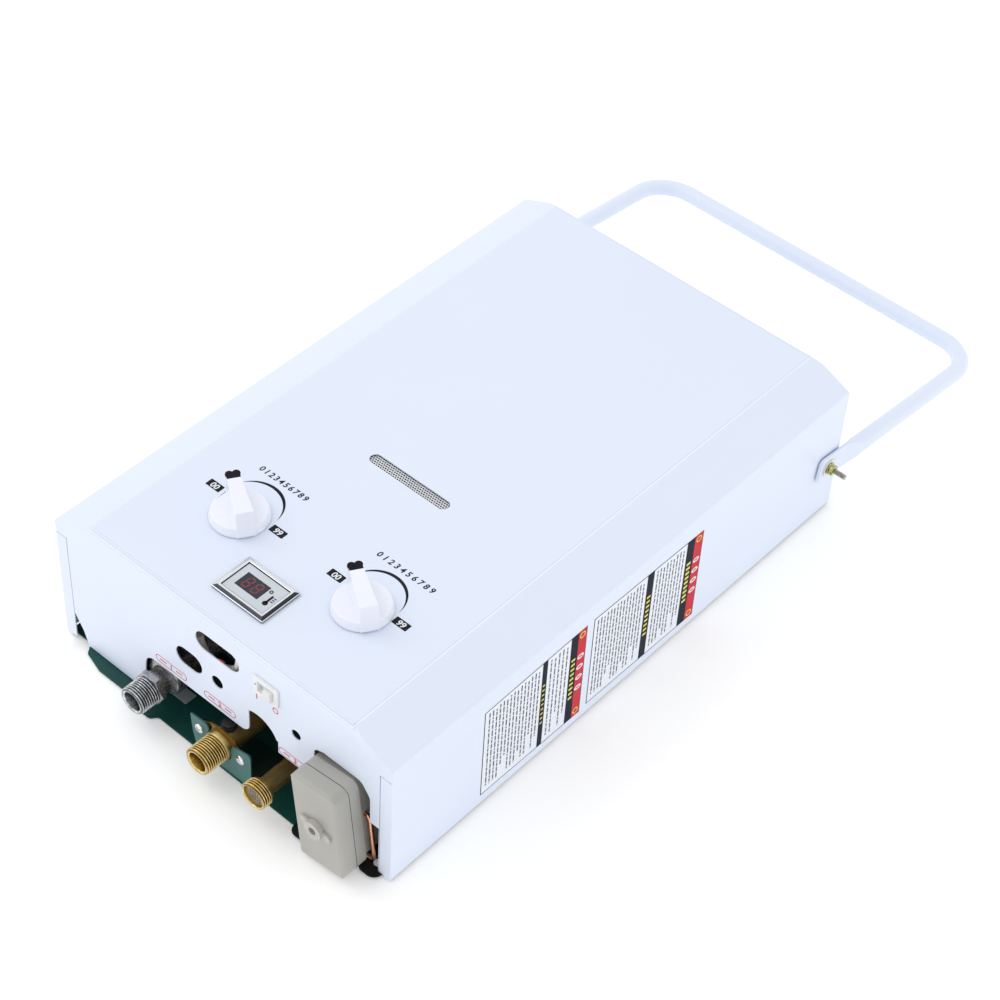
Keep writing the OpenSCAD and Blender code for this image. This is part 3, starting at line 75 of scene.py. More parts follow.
QUARTER_TURN = math.pi / 2.0


# ---------------------------------------------------------------- finishes


class Grain(Enum):
    """A grey pattern, by the node that makes it."""

    CLOUD = "ShaderNodeTexNoise"
    CELLS = "ShaderNodeTexVoronoi"


class Relief(Enum):
    """How the fine relief of a finish lies: its grain, and how much finer that is along X, Y and Z."""

    POWDER = (Grain.CLOUD, (1.0, 1.0, 1.0))
    MOULDED = (Grain.CLOUD, (1.3, 1.3, 1.3))
    TURNED_ROUND_Y = (Grain.CLOUD, (0.12, 5.0, 0.12))
    TURNED_ROUND_X = (Grain.CLOUD, (5.0, 0.12, 0.12))
    CAST = (Grain.CELLS, (1.0, 1.0, 1.0))
    ROLLED = (Grain.CLOUD, (4.0, 0.15, 4.0))
    SPANGLED = (Grain.CELLS, (1.0, 1.0, 0.6))
    POLISHED = (Grain.CLOUD, (0.5, 0.5, 0.5))


class Shading:
    """Adds and joins the nodes of one material."""

    def __init__(self, name: str) -> None:
        """Starts a material of that name with one surface shader."""
        self.material = bpy.data.materials.new(name)
        self.material.use_nodes = True
        self.tree = self.material.node_tree
        self.surface = self.tree.nodes["Principled BSDF"]

    def add(self, kind: str, values: dict | None = None, **settings: object) -> bpy.types.Node:
        """Adds a node.

        Args:
            kind: the node's type name.
            values: by input, a number, a colour or a socket to join to it.
            settings: properties of the node itself.

        Returns:
            The new node.
        """
        node = self.tree.nodes.new(kind)
        for key, value in settings.items():
            setattr(node, key, value)
        self.feed(node, values or {})
        return node

    def feed(self, node: bpy.types.Node, values: dict) -> None:
        """Sets a node's inputs.

        Args:
            node: the node.
            values: by input, a number, a colour or a socket to join to it.
        """
        for key, value in values.items():
            if isinstance(value, Socket):
                self.tree.links.new(value, node.inputs[key])
            else:
                node.inputs[key].default_value = value

    def pattern(self, size_mm: float, stretch: Triple, grain: Grain) -> Socket:
        """Adds a grey pattern fixed to the object.

        Args:
            size_mm: size of one grain.
            stretch: how much finer the grain is along X, Y and Z.
            grain: the pattern.

        Returns:
            The socket that carries the grey value.
        """
        where = self.add("ShaderNodeTexCoord").outputs["Object"]
        scale = tuple(1.0 / (size_mm * MM) * s for s in stretch)
        placed = self.add("ShaderNodeMapping", {"Vector": where, "Scale": scale}).outputs[0]
        values = {"Vector": placed, "Scale": 1.0}
        if grain is Grain.CLOUD:
            values["Detail"] = 3.0
        return self.add(grain.value, values).outputs[0]

    def ramp(self, value: Socket, low: Triple, high: Triple) -> Socket:
        """Adds a colour that runs from low to high with a grey value.

        Args:
            value: the grey value.
            low: the colour up to a grey of 0.3.
            high: the colour from a grey of 0.7.

        Returns:
            The socket that carries the colour.
        """
        node = self.add("ShaderNodeValToRGB", {"Fac": value})
        for stop, position, colour in zip(node.color_ramp.elements, (0.3, 0.7), (low, high)):
            stop.position = position
            stop.color = (*colour, 1.0)
        return node.outputs["Color"]

    def span(self, value: Socket, low: float, high: float) -> Socket:
        """Adds a number that runs from low to high with a grey value.

        Args:
            value: the grey value.
            low: the number at a grey of 0.25.
            high: the number at a grey of 0.75.

        Returns:
            The socket that carries the number.
        """
        values = {"Value": value, "From Min": 0.25, "From Max": 0.75, "To Min": low, "To Max": high}
        return self.add("ShaderNodeMapRange", values).outputs["Result"]


@dataclass(frozen=True)
class Finish:
    """One finish of the real thing, from which its material is made."""

    name: str
    slot: str
    colour: Triple
    drift: Triple
    rough: tuple[float, float]
    relief: Relief
    drift_mm: float = 60.0
    grain_mm: float = 0.8
    depth_mm: float = 0.01
    metallic: float = 0.0
    coat: float = 0.0
    # colour of painted shade, toward which the shade attribute darkens the surface's colour
    hollow: Triple | None = None
    glow: float = 0.0
    specular: float = 0.5

    def material(self) -> bpy.types.Material:
        """The material: colour drifting slowly, roughness and relief from the fine grain.

        Where a painted shade colour is given, the surface's own shade attribute darkens the colour toward it:
        painted shade in thread roots, bores and recesses, and the dark of painted reflections on the chrome.

        Returns:
            The material, made the first time it is asked for.
        """
        label = "finish_" + self.name
        known = bpy.data.materials.get(label)
        if known:
            return known
        made = Shading(label)
        even = (1.0, 1.0, 1.0)
        grain, stretch = self.relief.value
        colour = made.ramp(made.pattern(self.drift_mm, even, Grain.CLOUD), self.colour, self.drift)
        # painted shade: the shade attribute mixes the colour toward the painted shade colour
        if self.hollow:
            shade = made.add("ShaderNodeAttribute", attribute_name="shade").outputs["Fac"]
            blend = {0: shade, 6: (*self.hollow, 1.0), 7: colour}
            colour = made.add("ShaderNodeMix", blend, data_type="RGBA").outputs[2]
        fine = made.pattern(self.grain_mm, stretch, grain)
        wear = made.pattern(self.drift_mm * 0.4, (1.0, 1.3, 0.8), Grain.CLOUD)
        both = made.add("ShaderNodeMath", {0: fine, 1: wear}, operation="ADD").outputs[0]
        half = made.add("ShaderNodeMath", {0: both, 1: 0.5}, operation="MULTIPLY").outputs[0]
        bump = made.add("ShaderNodeBump", {"Height": fine, "Strength": 0.6, "Distance": self.depth_mm * MM})
        made.feed(made.surface, {
            "Base Color": colour,
            "Roughness": made.span(half, *self.rough),
            "Normal": bump.outputs[0],
            "Metallic": self.metallic,
            "Coat Weight": self.coat,
            "Coat Roughness": 0.12,
            "Specular IOR Level": self.specular,
        })
        if self.glow:
            made.feed(made.surface, {"Emission Color": colour, "Emission Strength": self.glow})
        return made.material


ENAMEL = Finish("white_enamel", "white_enamel", (0.735, 0.80, 0.935), (0.75, 0.815, 0.945), (0.3, 0.42),
                Relief.POWDER, drift_mm=180, grain_mm=1.1, depth_mm=0.006)
# painted highlight: the bright line along the sheet's bends
PAINTED_BEND_HIGHLIGHT = Finish("painted_bend_highlight", "white_enamel", (0.95, 0.96, 0.98), (0.96, 0.97, 0.98), (0.2, 0.3),
                    Relief.POWDER, drift_mm=90, grain_mm=1.1, depth_mm=0.004)
# painted shade: the darker line beside the bends
PAINTED_BEND_SHADE = Finish("painted_bend_shade", "white_enamel", (0.6, 0.66, 0.8), (0.64, 0.7, 0.84), (0.35, 0.45),
                    Relief.POWDER, drift_mm=90, grain_mm=1.1, depth_mm=0.004)
KNOB_WHITE = Finish("knob_white", "white_plastic", (0.85, 0.87, 0.96), (0.87, 0.89, 0.97), (0.3, 0.4),
                    Relief.MOULDED, drift_mm=40, grain_mm=0.9, depth_mm=0.004, coat=0.15)
SWITCH_WHITE = Finish("switch_white", "white_plastic", (0.80, 0.81, 0.82), (0.84, 0.85, 0.86), (0.35, 0.5),
                      Relief.MOULDED, drift_mm=20, grain_mm=0.6)
SLIDER_GREY = Finish("slider_white", "slider_plastic", (0.74, 0.75, 0.76), (0.78, 0.79, 0.8), (0.35, 0.5),
                     Relief.MOULDED, drift_mm=12, grain_mm=0.5)
BATTERY_GREY = Finish("battery_box_grey", "grey_plastic", (0.37, 0.36, 0.33), (0.41, 0.4, 0.365),
                      (0.3, 0.45), Relief.MOULDED, drift_mm=45, grain_mm=0.9, depth_mm=0.012, coat=0.2)
# painted highlight: the battery box's grey made lighter on the latch to stand for its highlights
LATCH_GREY = Finish("latch_grey", "grey_plastic", (0.45, 0.435, 0.395), (0.49, 0.475, 0.43), (0.22, 0.36),
                    Relief.MOULDED, drift_mm=20, grain_mm=0.9, depth_mm=0.008, coat=0.35)
KNOB_BLACK = Finish("pointer_black", "black_plastic", (0.005, 0.005, 0.009), (0.009, 0.009, 0.014),
                    (0.35, 0.5), Relief.MOULDED, drift_mm=10, grain_mm=0.5, specular=0.12)
PLATE_GREEN = Finish("back_plate_green", "green_paint", (0.004, 0.05, 0.043), (0.007, 0.07, 0.06),
                     (0.3, 0.5), Relief.POWDER, drift_mm=50, grain_mm=1.2, depth_mm=0.015, specular=0.3)
# its dark colour is painted shade, laid on the bracket's foot under the hood
BRACKET_TEAL = Finish("bracket_teal", "teal_paint", (0.03, 0.13, 0.125), (0.045, 0.17, 0.16), (0.35, 0.5),
                      Relief.POWDER, drift_mm=30, grain_mm=1.0, depth_mm=0.015, hollow=(0.002, 0.02, 0.018))
LUG_BLACK = Finish("lug_black", "black_paint", (0.006, 0.008, 0.009), (0.013, 0.015, 0.017), (0.3, 0.5),
                   Relief.POWDER, drift_mm=30, grain_mm=1.0, depth_mm=0.012, specular=0.25)
# Zinc: the fine, strong drift from dark to bright is partly the metal's own uneven tone and partly painted
# reflection; the thread's roots darken to painted shade
GAS_ZINC = Finish("gas_thread_zinc", "zinc_casting", (0.3, 0.3, 0.31), (0.88, 0.88, 0.89), (0.14, 0.34),
                  Relief.TURNED_ROUND_Y, drift_mm=3, grain_mm=0.7, depth_mm=0.025, metallic=1.0,
                  hollow=(0.06, 0.09, 0.095))
GAS_CAST = Finish("gas_casting_zinc", "zinc_casting", (0.27, 0.27, 0.28), (0.5, 0.5, 0.51), (0.2, 0.4),
                  Relief.CAST, drift_mm=5, grain_mm=1.4, depth_mm=0.03, metallic=0.9)
# Brass: the fine drift from dark to pale brass is partly the metal's own uneven tone and partly painted
# reflection; thread roots and bore darken to painted shade
BRASS = Finish("brass_turned", "brass", (0.66, 0.46, 0.12), (0.95, 0.8, 0.42), (0.12, 0.3),
               Relief.TURNED_ROUND_Y, drift_mm=4, grain_mm=0.7, depth_mm=0.015, metallic=1.0,
               hollow=(0.17, 0.09, 0.012))
BRASS_CAST = Finish("brass_cast", "brass_casting", (0.5, 0.36, 0.12), (0.68, 0.52, 0.22), (0.3, 0.45),
                    Relief.CAST, drift_mm=14, grain_mm=1.3, depth_mm=0.05, metallic=0.9)
SCREW_STEEL = Finish("screw_steel", "bright_steel", (0.72, 0.72, 0.74), (0.86, 0.86, 0.87), (0.15, 0.3),
                     Relief.POLISHED, drift_mm=5, grain_mm=0.5, depth_mm=0.006, metallic=1.0)
# the stud's thread roots darken to painted shade
STUD_STEEL = Finish("stud_steel", "stud_steel", (0.5, 0.45, 0.41), (0.85, 0.82, 0.78), (0.18, 0.36),
                    Relief.TURNED_ROUND_X, drift_mm=2, grain_mm=0.5, metallic=1.0,
                    hollow=(0.09, 0.075, 0.06))
# the nut's fine drift from dark olive to pale yellow is partly the zinc's own uneven tone and partly painted
# highlight
NUT_YELLOW = Finish("nut_yellow_zinc", "yellow_zinc", (0.22, 0.22, 0.05), (0.78, 0.76, 0.36), (0.15, 0.32),
                    Relief.TURNED_ROUND_X, drift_mm=2, grain_mm=0.6, metallic=1.0)
GALVANISED = Finish("galvanised_sheet", "galvanised", (0.5, 0.51, 0.52), (0.66, 0.67, 0.68), (0.3, 0.5),
                    Relief.SPANGLED, drift_mm=30, grain_mm=7.0, depth_mm=0.02, metallic=0.9)
SUPPORT = Finish("support_sheet", "galvanised", (0.36, 0.44, 0.46), (0.44, 0.52, 0.54), (0.35, 0.5),
                 Relief.POWDER, drift_mm=12, grain_mm=0.8, metallic=0.2)
BURNER_STEEL = Finish("burner_steel", "burner_steel", (0.34, 0.33, 0.31), (0.47, 0.45, 0.42), (0.35, 0.55),
                      Relief.ROLLED, drift_mm=25, grain_mm=1.0, metallic=0.9)
COPPER = Finish("copper_tube", "copper", (0.78, 0.34, 0.2), (0.9, 0.5, 0.32), (0.2, 0.4), Relief.POLISHED,
                drift_mm=14, grain_mm=1.0, depth_mm=0.01, metallic=1.0)
CERAMIC = Finish("white_ceramic", "white_ceramic", (0.82, 0.8, 0.74), (0.88, 0.86, 0.8), (0.3, 0.45),
                 Relief.MOULDED, drift_mm=9, grain_mm=0.5)
CREAM = Finish("cream_plastic", "white_plastic", (0.78, 0.76, 0.68), (0.84, 0.82, 0.75), (0.3, 0.45),
               Relief.MOULDED, drift_mm=25, grain_mm=0.7)
INNER_BLACK = Finish("inner_black_plastic", "black_plastic", (0.014, 0.014, 0.015), (0.03, 0.03, 0.032),
                     (0.3, 0.5), Relief.MOULDED, drift_mm=15, grain_mm=0.6)
CELL_SLEEVE = Finish("cell_sleeve", "cell_sleeve", (0.05, 0.09, 0.3), (0.07, 0.13, 0.38), (0.2, 0.35),
                     Relief.POLISHED, drift_mm=25, grain_mm=1.0, coat=0.4)
CONTACT = Finish("contact_metal", "contact_metal", (0.7, 0.69, 0.64), (0.8, 0.79, 0.74), (0.2, 0.35),
                 Relief.ROLLED, drift_mm=8, grain_mm=0.6, metallic=1.0)
# its dark colour is the painted reflection on the frame's near slopes
CHROME = Finish("display_chrome", "display_chrome", (0.8, 0.83, 0.88), (0.88, 0.91, 0.95), (0.08, 0.16),
                Relief.POLISHED, drift_mm=20, grain_mm=1.0, depth_mm=0.002, metallic=1.0,
                hollow=(0.02, 0.023, 0.03))
SILVER = Finish("display_silver", "display_silver", (0.58, 0.62, 0.68), (0.64, 0.68, 0.74), (0.35, 0.5),
                Relief.POWDER, drift_mm=18, grain_mm=0.5, depth_mm=0.004, metallic=0.3)
WINDOW = Finish("display_window", "display_dark", (0.026, 0.03, 0.042), (0.034, 0.039, 0.053), (0.12, 0.2),
                Relief.POLISHED, drift_mm=10, grain_mm=1.0, depth_mm=0.002, specular=0.35)
SEGMENT = Finish("display_segment", "display_dark", (0.2, 0.035, 0.05), (0.24, 0.045, 0.06), (0.2, 0.3),
                 Relief.POLISHED, drift_mm=6, grain_mm=1.0, depth_mm=0.002)
RUBBER = Finish("valve_rubber", "rubber", (0.02, 0.02, 0.02), (0.035, 0.034, 0.033), (0.55, 0.75),
                Relief.MOULDED, drift_mm=14, grain_mm=0.8)
COIL = Finish("solenoid_coil", "solenoid_coil", (0.3, 0.09, 0.03), (0.42, 0.15, 0.05), (0.3, 0.45),
              Relief.TURNED_ROUND_X, drift_mm=10, grain_mm=0.8, metallic=0.5)
MESH = Finish("view_mesh", "filter_mesh", (0.7, 0.72, 0.75), (0.8, 0.82, 0.85), (0.25, 0.4), Relief.ROLLED,
              drift_mm=12, grain_mm=0.8, metallic=0.3)
STRAINER = Finish("strainer_mesh", "filter_mesh", (0.3, 0.27, 0.22), (0.42, 0.39, 0.33), (0.25, 0.4),
                  Relief.CAST, drift_mm=4, grain_mm=0.8, metallic=0.9)
WIRE = Finish("wire_cover", "wire_cover", (0.62, 0.05, 0.03), (0.72, 0.09, 0.06), (0.3, 0.45),
              Relief.MOULDED, drift_mm=30, grain_mm=0.7)


def print_finish(name: str, slot: str, colour: Triple, drift: Triple, rough: tuple = (0.35, 0.5),
                 relief: Relief = Relief.MOULDED, drift_mm: float = 12.0, grain_mm: float = 0.5,
                 **others: float) -> Finish:
    """The finish of a printed mark or a sticker's film, whose relief is only 3 thousandths of a mm deep.

    Args:
        name: the finish's name.
        slot: the slot of the row it belongs to.
        colour: its colour.
        drift: the colour it drifts to.
        rough: its least and greatest roughness.
        relief: its relief.
        drift_mm: size of the drift's clouds.
        grain_mm: size of the relief's grain.
        others: any other field of a finish.

    Returns:
        The finish.
    """
    return Finish(name, slot, colour, drift, rough, relief, drift_mm=drift_mm, grain_mm=grain_mm,
                  depth_mm=0.003, **others)


INK = print_finish("print_black", "black_paint", (0.006, 0.007, 0.012), (0.011, 0.012, 0.018),
                   rough=(0.4, 0.55), specular=0.15)
INK_GREY = print_finish("print_grey", "black_paint", (0.07, 0.075, 0.09), (0.12, 0.125, 0.145), drift_mm=9,
                        specular=0.12)
INK_WHITE = print_finish("print_white", "white_enamel", (0.8, 0.82, 0.86), (0.84, 0.86, 0.9))
INK_RED = print_finish("print_red", "red_plastic", (0.6, 0.06, 0.1), (0.66, 0.09, 0.13))
INK_YELLOW = print_finish("print_yellow", "yellow_zinc", (0.72, 0.66, 0.06), (0.78, 0.72, 0.1))
LABEL_FILM = print_finish("label_film", "white_plastic", (0.80, 0.835, 0.92), (0.82, 0.855, 0.935),
                          rough=(0.25, 0.35), relief=Relief.POLISHED, drift_mm=60, coat=0.2, grain_mm=1.0)
LABEL_RED = print_finish("label_red", "red_plastic", (0.56, 0.018, 0.035), (0.61, 0.026, 0.045),
                         rough=(0.4, 0.5), relief=Relief.POLISHED, drift_mm=20, specular=0.12, grain_mm=1.0)
LABEL_DARK = print_finish("label_dark", "black_plastic", (0.01, 0.012, 0.022), (0.016, 0.019, 0.03),
                          rough=(0.5, 0.6), relief=Relief.POLISHED, drift_mm=20, specular=0.08,
                          grain_mm=1.0)
PAPER = Finish("studio_paper", "white_plastic", (0.94, 0.94, 0.94), (0.95, 0.95, 0.95), (0.9, 0.95),
               Relief.MOULDED, drift_mm=900, grain_mm=8.0, depth_mm=0.02, glow=0.18)


# ---------------------------------------------------------------- places and surfaces


@dataclass(frozen=True)
class Place:
    """A flat place in the row frame: its origin, and which way its own x and y run; z stands out of it."""

    origin: Triple
    x: Triple
    y: Triple

    @property
    def z(self) -> Array:
        """The way out of the place: x across y."""
        return np.cross(self.x, self.y)

    def put(self, points: Array) -> Array:
        """Takes points of the place to the row frame: origin + x X + y Y + z Z.

        Args:
            points: points in the place's own x, y and z.

        Returns:
            The points in the row frame.
        """
        axes = np.array([self.x, self.y, self.z], float)
        return np.asarray(points, float) @ axes + np.array(self.origin, float)

    def at(self, u: float, v: float, w: float = 0.0) -> "Place":
        """The same place with its origin moved by u, v and w along its own axes."""
        return Place(tuple(self.put([u, v, w])), self.x, self.y)

    def turned(self, degrees: float) -> "Place":
        """The same place turned about its own z.

        Args:
            degrees: the turn, counter-clockwise.

        Returns:
            The turned place.
        """
        c, s = math.cos(math.radians(degrees)), math.sin(math.radians(degrees))
        x, y = np.array(self.x), np.array(self.y)
        return Place(self.origin, tuple(x * c + y * s), tuple(y * c - x * s))


FRONT = Place((0.0, 0.0, 123.4), (1.0, 0.0, 0.0), (0.0, 1.0, 0.0))
END = Place((0.0, 0.0, 0.0), (1.0, 0.0, 0.0), (0.0, 0.0, 1.0))
RIGHT = Place((150.0, 0.0, 0.0), (0.0, 0.0, -1.0), (0.0, 1.0, 0.0))


def smooth_step(value: Array) -> Array:
    """Runs from 0 to 1 with level ends: t squared times (3 - 2 t), t held between 0 and 1."""
    t = np.clip(value, 0.0, 1.0)
    return t * t * (3.0 - 2.0 * t)


def full_turn(sides: int) -> Array:
    """The angles of that many points round a circle, as one row."""
    return np.linspace(0.0, FULL_TURN, sides, endpoint=False)[None, :]


def circles(radius: Array | float, height: Array | float, turn: Array) -> Array:
    """Rings round z: x = radius cos a, y = radius sin a, z = height.

    Args:
        radius: one radius for all, for each ring (as a column) or for each point.
        height: the same for the height.
        turn: the angles a, as one row.

    Returns:
        The points, ring by ring.
    """
    return np.stack(np.broadcast_arrays(radius * np.cos(turn), radius * np.sin(turn), height), axis=-1)


def lattice(rows: int, cols: int, loop: bool = False) -> Array:
    """Four-cornered faces of a grid of points that is closed round its columns.

    Args:
        rows: how many rings.
        cols: points in each ring.
        loop: whether the last ring joins the first.

    Returns:
        One row of four point numbers for each face.
    """
    i = np.arange(rows if loop else rows - 1)[:, None]
    j = np.arange(cols)[None, :]
    n, m = (i + 1) % rows, (j + 1) % cols
    corners = [i * cols + j, i * cols + m, n * cols + m, n * cols + j]
    return np.stack([c + 0 * (i + j) for c in corners], axis=-1).reshape(-1, 4)


@dataclass
class Shell:
    """Points and faces of one closed surface before it becomes an object, with an optional shade by point."""

    points: Array
    faces: list
    shade: Array | None = None

    @staticmethod
    def of_rings(rings: Array, shade: Array | None = None, loop: bool = False) -> "Shell":
        """A skin over rings of points.

        Args:
            rings: the points, ring by ring.
            shade: a shade for each of them.
            loop: whether the skin closes back on itself, or else with a face at both ends.

        Returns:
            The closed surface.
        """
        rows, cols = rings.shape[:2]
        faces = lattice(rows, cols, loop).tolist()
        if not loop:
            faces += [list(range(cols))[::-1], list(range((rows - 1) * cols, rows * cols))]
        return Shell(rings.reshape(-1, 3), faces, None if shade is None else shade.reshape(-1))

    @staticmethod
    def joined(shells: list["Shell"]) -> "Shell":
        """Several surfaces as one, with a shade only where each of them has one.

        Args:
            shells: the surfaces.

        Returns:
            The one surface.
        """
        starts = np.cumsum([0] + [len(shell.points) for shell in shells])
        faces = [[k + int(start) for k in face]
                 for start, shell in zip(starts, shells) for face in shell.faces]
        shades = [shell.shade for shell in shells]
        shade = None if any(one is None for one in shades) else np.concatenate(shades)
        return Shell(np.concatenate([shell.points for shell in shells]), faces, shade)


def revolved(profile: list, place: Place, sides: int = 72, loop: bool = False) -> Shell:
    """A profile carried round the place's z: x = r cos a, y = r sin a, z = height.

    Args:
        profile: its points, each a radius and a height. One that starts and ends on the axis closes in poles.
        place: where z stands.
        sides: points round the axis.
        loop: whether the profile closes on itself, as a tube's does.

    Returns:
        The closed surface.
    """
    edge = np.array(profile, float)
    return Shell.of_rings(place.put(circles(edge[:, :1], edge[:, 1:], full_turn(sides))), loop=loop)


def threaded(place: Place, crest: float, depth: float, pitch: float, start: float, end: float, bore: float,
             lead: float = 1.2, sides: int = 72) -> Shell:
    """A pipe thread along the place's z, with its bore.

    The radius is root + depth (1 + cos(2 pi (h / pitch) - a)) / 2 sharpened a little, held under a cone at
    the mouth and brought down to the root over half a turn at both ends. The shade is painted shade: 1 on a
    crest and 0 in a root, and from 1 at the mouth down to 0.15 deep in the bore.

    Args:
        place: origin and direction.
        crest: radius over the crests.
        depth: depth of the thread.
        pitch: length of one turn.
        start: height where the thread begins.
        end: height of the mouth.
        bore: radius of the hole.
        lead: length of the lead cone at the mouth.
        sides: points round the pipe.

    Returns:
        The closed surface.
    """
    rings_a_turn = 12
    rows = int(round((end - start) / pitch * rings_a_turn)) + 1
    h = np.linspace(start, end, rows)[:, None]
    turn = full_turn(sides)
    wave = 0.5 + 0.5 * np.cos(FULL_TURN * h / pitch - turn)
    wave = np.where(wave > 0.5, 1.0 - 2.0 * (1.0 - wave) ** 2, 2.0 * wave ** 2) * 0.5 + wave * 0.5
    fade = smooth_step((h - start) / (0.7 * pitch)) * smooth_step((end - h) / (0.4 * pitch) + 0.35)
    height = wave * fade
    r = np.minimum(crest - depth + depth * height, crest - depth * 0.9 + (end - h) * depth * 1.1 / lead)
    inner_r = np.array([bore + 0.9, bore + 0.25, bore, bore])[:, None]
    inner_h = np.array([end, end - 0.3, end - 0.9, start])[:, None]
    # painted shade that deepens into the bore
    inner_shade = np.array([1.0, 0.9, 0.6, 0.15])[:, None]
    rings = np.concatenate([circles(r, h, turn), circles(inner_r, inner_h, turn)])
    return Shell.of_rings(place.put(rings), np.concatenate([height, inner_shade + 0.0 * turn]), loop=True)


def hexagon_nut(place: Place, across: float, low: float, high: float, bore: float,
                bevel: float = 0.9) -> Shell:
    """A hexagon with turned corners and a bore along the place's z.

    The radius is the smaller of the hexagon's, flat / cos(angle from the middle of the flat), and a cone that
    cuts the corners near both faces.

    Args:
        place: origin and direction.
        across: size over the corners.
        low: height of the first face.
        high: height of the last face.
        bore: radius of the hole.
        bevel: height over which the corners are cut.

    Returns:
        The closed surface.
    """
    turn = full_turn(96)
    half_side = math.pi / 6.0
    flat = across / 2.0 * math.cos(half_side)
    cone = flat * 0.97
    hexed = flat / np.cos((turn + half_side) % (2.0 * half_side) - half_side)
    steps = np.linspace(0.0, 1.0, 6)
    h = np.concatenate([low + bevel * steps, high - bevel * steps[::-1]])[:, None]
    r = np.minimum(hexed, cone + np.minimum(h - low, high - h) * (across / 2.0 - cone) / bevel)
    hole = circles(bore, np.array([high, low])[:, None], turn)
    return Shell.of_rings(place.put(np.concatenate([circles(r, h, turn), hole])), loop=True)


def prism(outline: Array, place: Place, low: float, high: float) -> Shell:
    """A flat outline drawn out along the place's z from low to high.

    Args:
        outline: its points, each an x and a y.
        place: where it lies.
        low: where it starts along z.
        high: where it ends.

    Returns:
        The closed surface.
    """
    flat = np.asarray(outline, float)
    ring = [np.column_stack([flat, np.full(len(flat), h)]) for h in (low, high)]
    return Shell.of_rings(place.put(np.stack(ring)))


def corner_turns(steps: int) -> Array:
    """The angles of the arcs of a rectangle's four corners, one row for each corner."""
    return np.linspace(0.0, QUARTER_TURN, steps + 1)[None, :] + np.arange(4)[:, None] * QUARTER_TURN


def rounded_outline(width: float, height: float, radius: float, steps: int = 5) -> Array:
    """A rectangle with round corners: each corner's centre + radius (cos a, sin a), counter-clockwise.

    Args:
        width: its size along x.
        height: its size along y.
        radius: the corners' radius.
        steps: straight pieces in each corner.

    Returns:
        The outline, about its middle.
    """
    r = max(radius, 0.01)
    centres = np.array([(1, 1), (-1, 1), (-1, -1), (1, -1)]) * [width / 2.0 - r, height / 2.0 - r]
    turn = corner_turns(steps)
    arc = np.stack([np.cos(turn), np.sin(turn)], axis=-1) * r
    return (centres[:, None, :] + arc).reshape(-1, 2)


def framed(profile: list, width: float, height: float, radius: float, place: Place,
           shade: tuple = (), painted_reflection_dark: tuple = ()) -> Shell:
    """A profile carried round a rounded rectangle and closed on itself, as a picture frame.

    Each ring is the rectangle's outline made smaller by the inset, with its corners' radius less the inset.
    The shade of a ring is painted: its own value times 1 - d max(0, cos(a + 45 degrees)) sqrt 2, where d is
    the ring's dark share and a the way the side faces, so that the sides that face +X and -Y are darker as a
    painted reflection.

    Args:
        profile: its points, each an inset and a height.
        width: the rectangle's size along x.
        height: its size along y.
        radius: its corners' radius.
        place: where its middle is.
        shade: the painted shade of each ring.
        painted_reflection_dark: how much darker each ring is on the sides that face +X and -Y.

    Returns:
        The closed surface.
    """
    rings = []
    for inset, level in profile:
        line = rounded_outline(width - 2 * inset, height - 2 * inset, max(radius - inset, 0.35))
        rings.append(np.column_stack([line, np.full(len(line), level)]))
    lit = None
    if shade:
        # painted reflection: the sides that face +X and -Y are darkened by each ring's dark share
        facing = corner_turns(5).reshape(1, -1) + math.pi / 4.0
        side = np.clip(np.cos(facing) * math.sqrt(2.0), 0.0, 1.0)
        lit = np.array(shade, float)[:, None] * (1.0 - np.array(painted_reflection_dark, float)[:, None] * side)
    return Shell.of_rings(place.put(np.stack(rings)), lit, loop=True)


def crescent(outer: Triple, inner: Triple, steps: int = 48) -> Array:
    """The part of one circle that another leaves: arcs of both between their two crossing points.

    Args:
        outer: x, y and radius of the circle kept.
        inner: x, y and radius of the circle taken away.
        steps: points along each arc.

    Returns:
        The outline, counter-clockwise.
    """
    a, b = np.array(outer[:2]), np.array(inner[:2])
    gap = float(np.hypot(*(b - a)))
    along = (gap ** 2 + outer[2] ** 2 - inner[2] ** 2) / (2.0 * gap)
    across = math.sqrt(max(outer[2] ** 2 - along ** 2, 0.0))
    way = (b - a) / gap
    side = np.array([-way[1], way[0]])
    tips = [a + way * along + side * across * s for s in (1.0, -1.0)]
    away = math.atan2(*(-way)[::-1])

    def arc(centre: Array, radius: float) -> Array:
        """Points from the first tip to the second, through the side away from the other circle.

        Args:
            centre: the circle's centre.
            radius: its radius.

        Returns:
            The points of the arc.
        """
        ends = [math.atan2(*(tip - centre)[::-1]) - away for tip in tips]
        ends = [(e + math.pi) % FULL_TURN - math.pi + away for e in ends]
        turn = np.linspace(ends[0], ends[1], steps)
        return centre + radius * np.column_stack([np.cos(turn), np.sin(turn)])

    line = np.concatenate([arc(a, outer[2]), arc(b, inner[2])[::-1][1:-1]])
    area = np.sum(line[:, 0] * np.roll(line[:, 1], -1) - np.roll(line[:, 0], -1) * line[:, 1])
    return line if area > 0 else line[::-1]


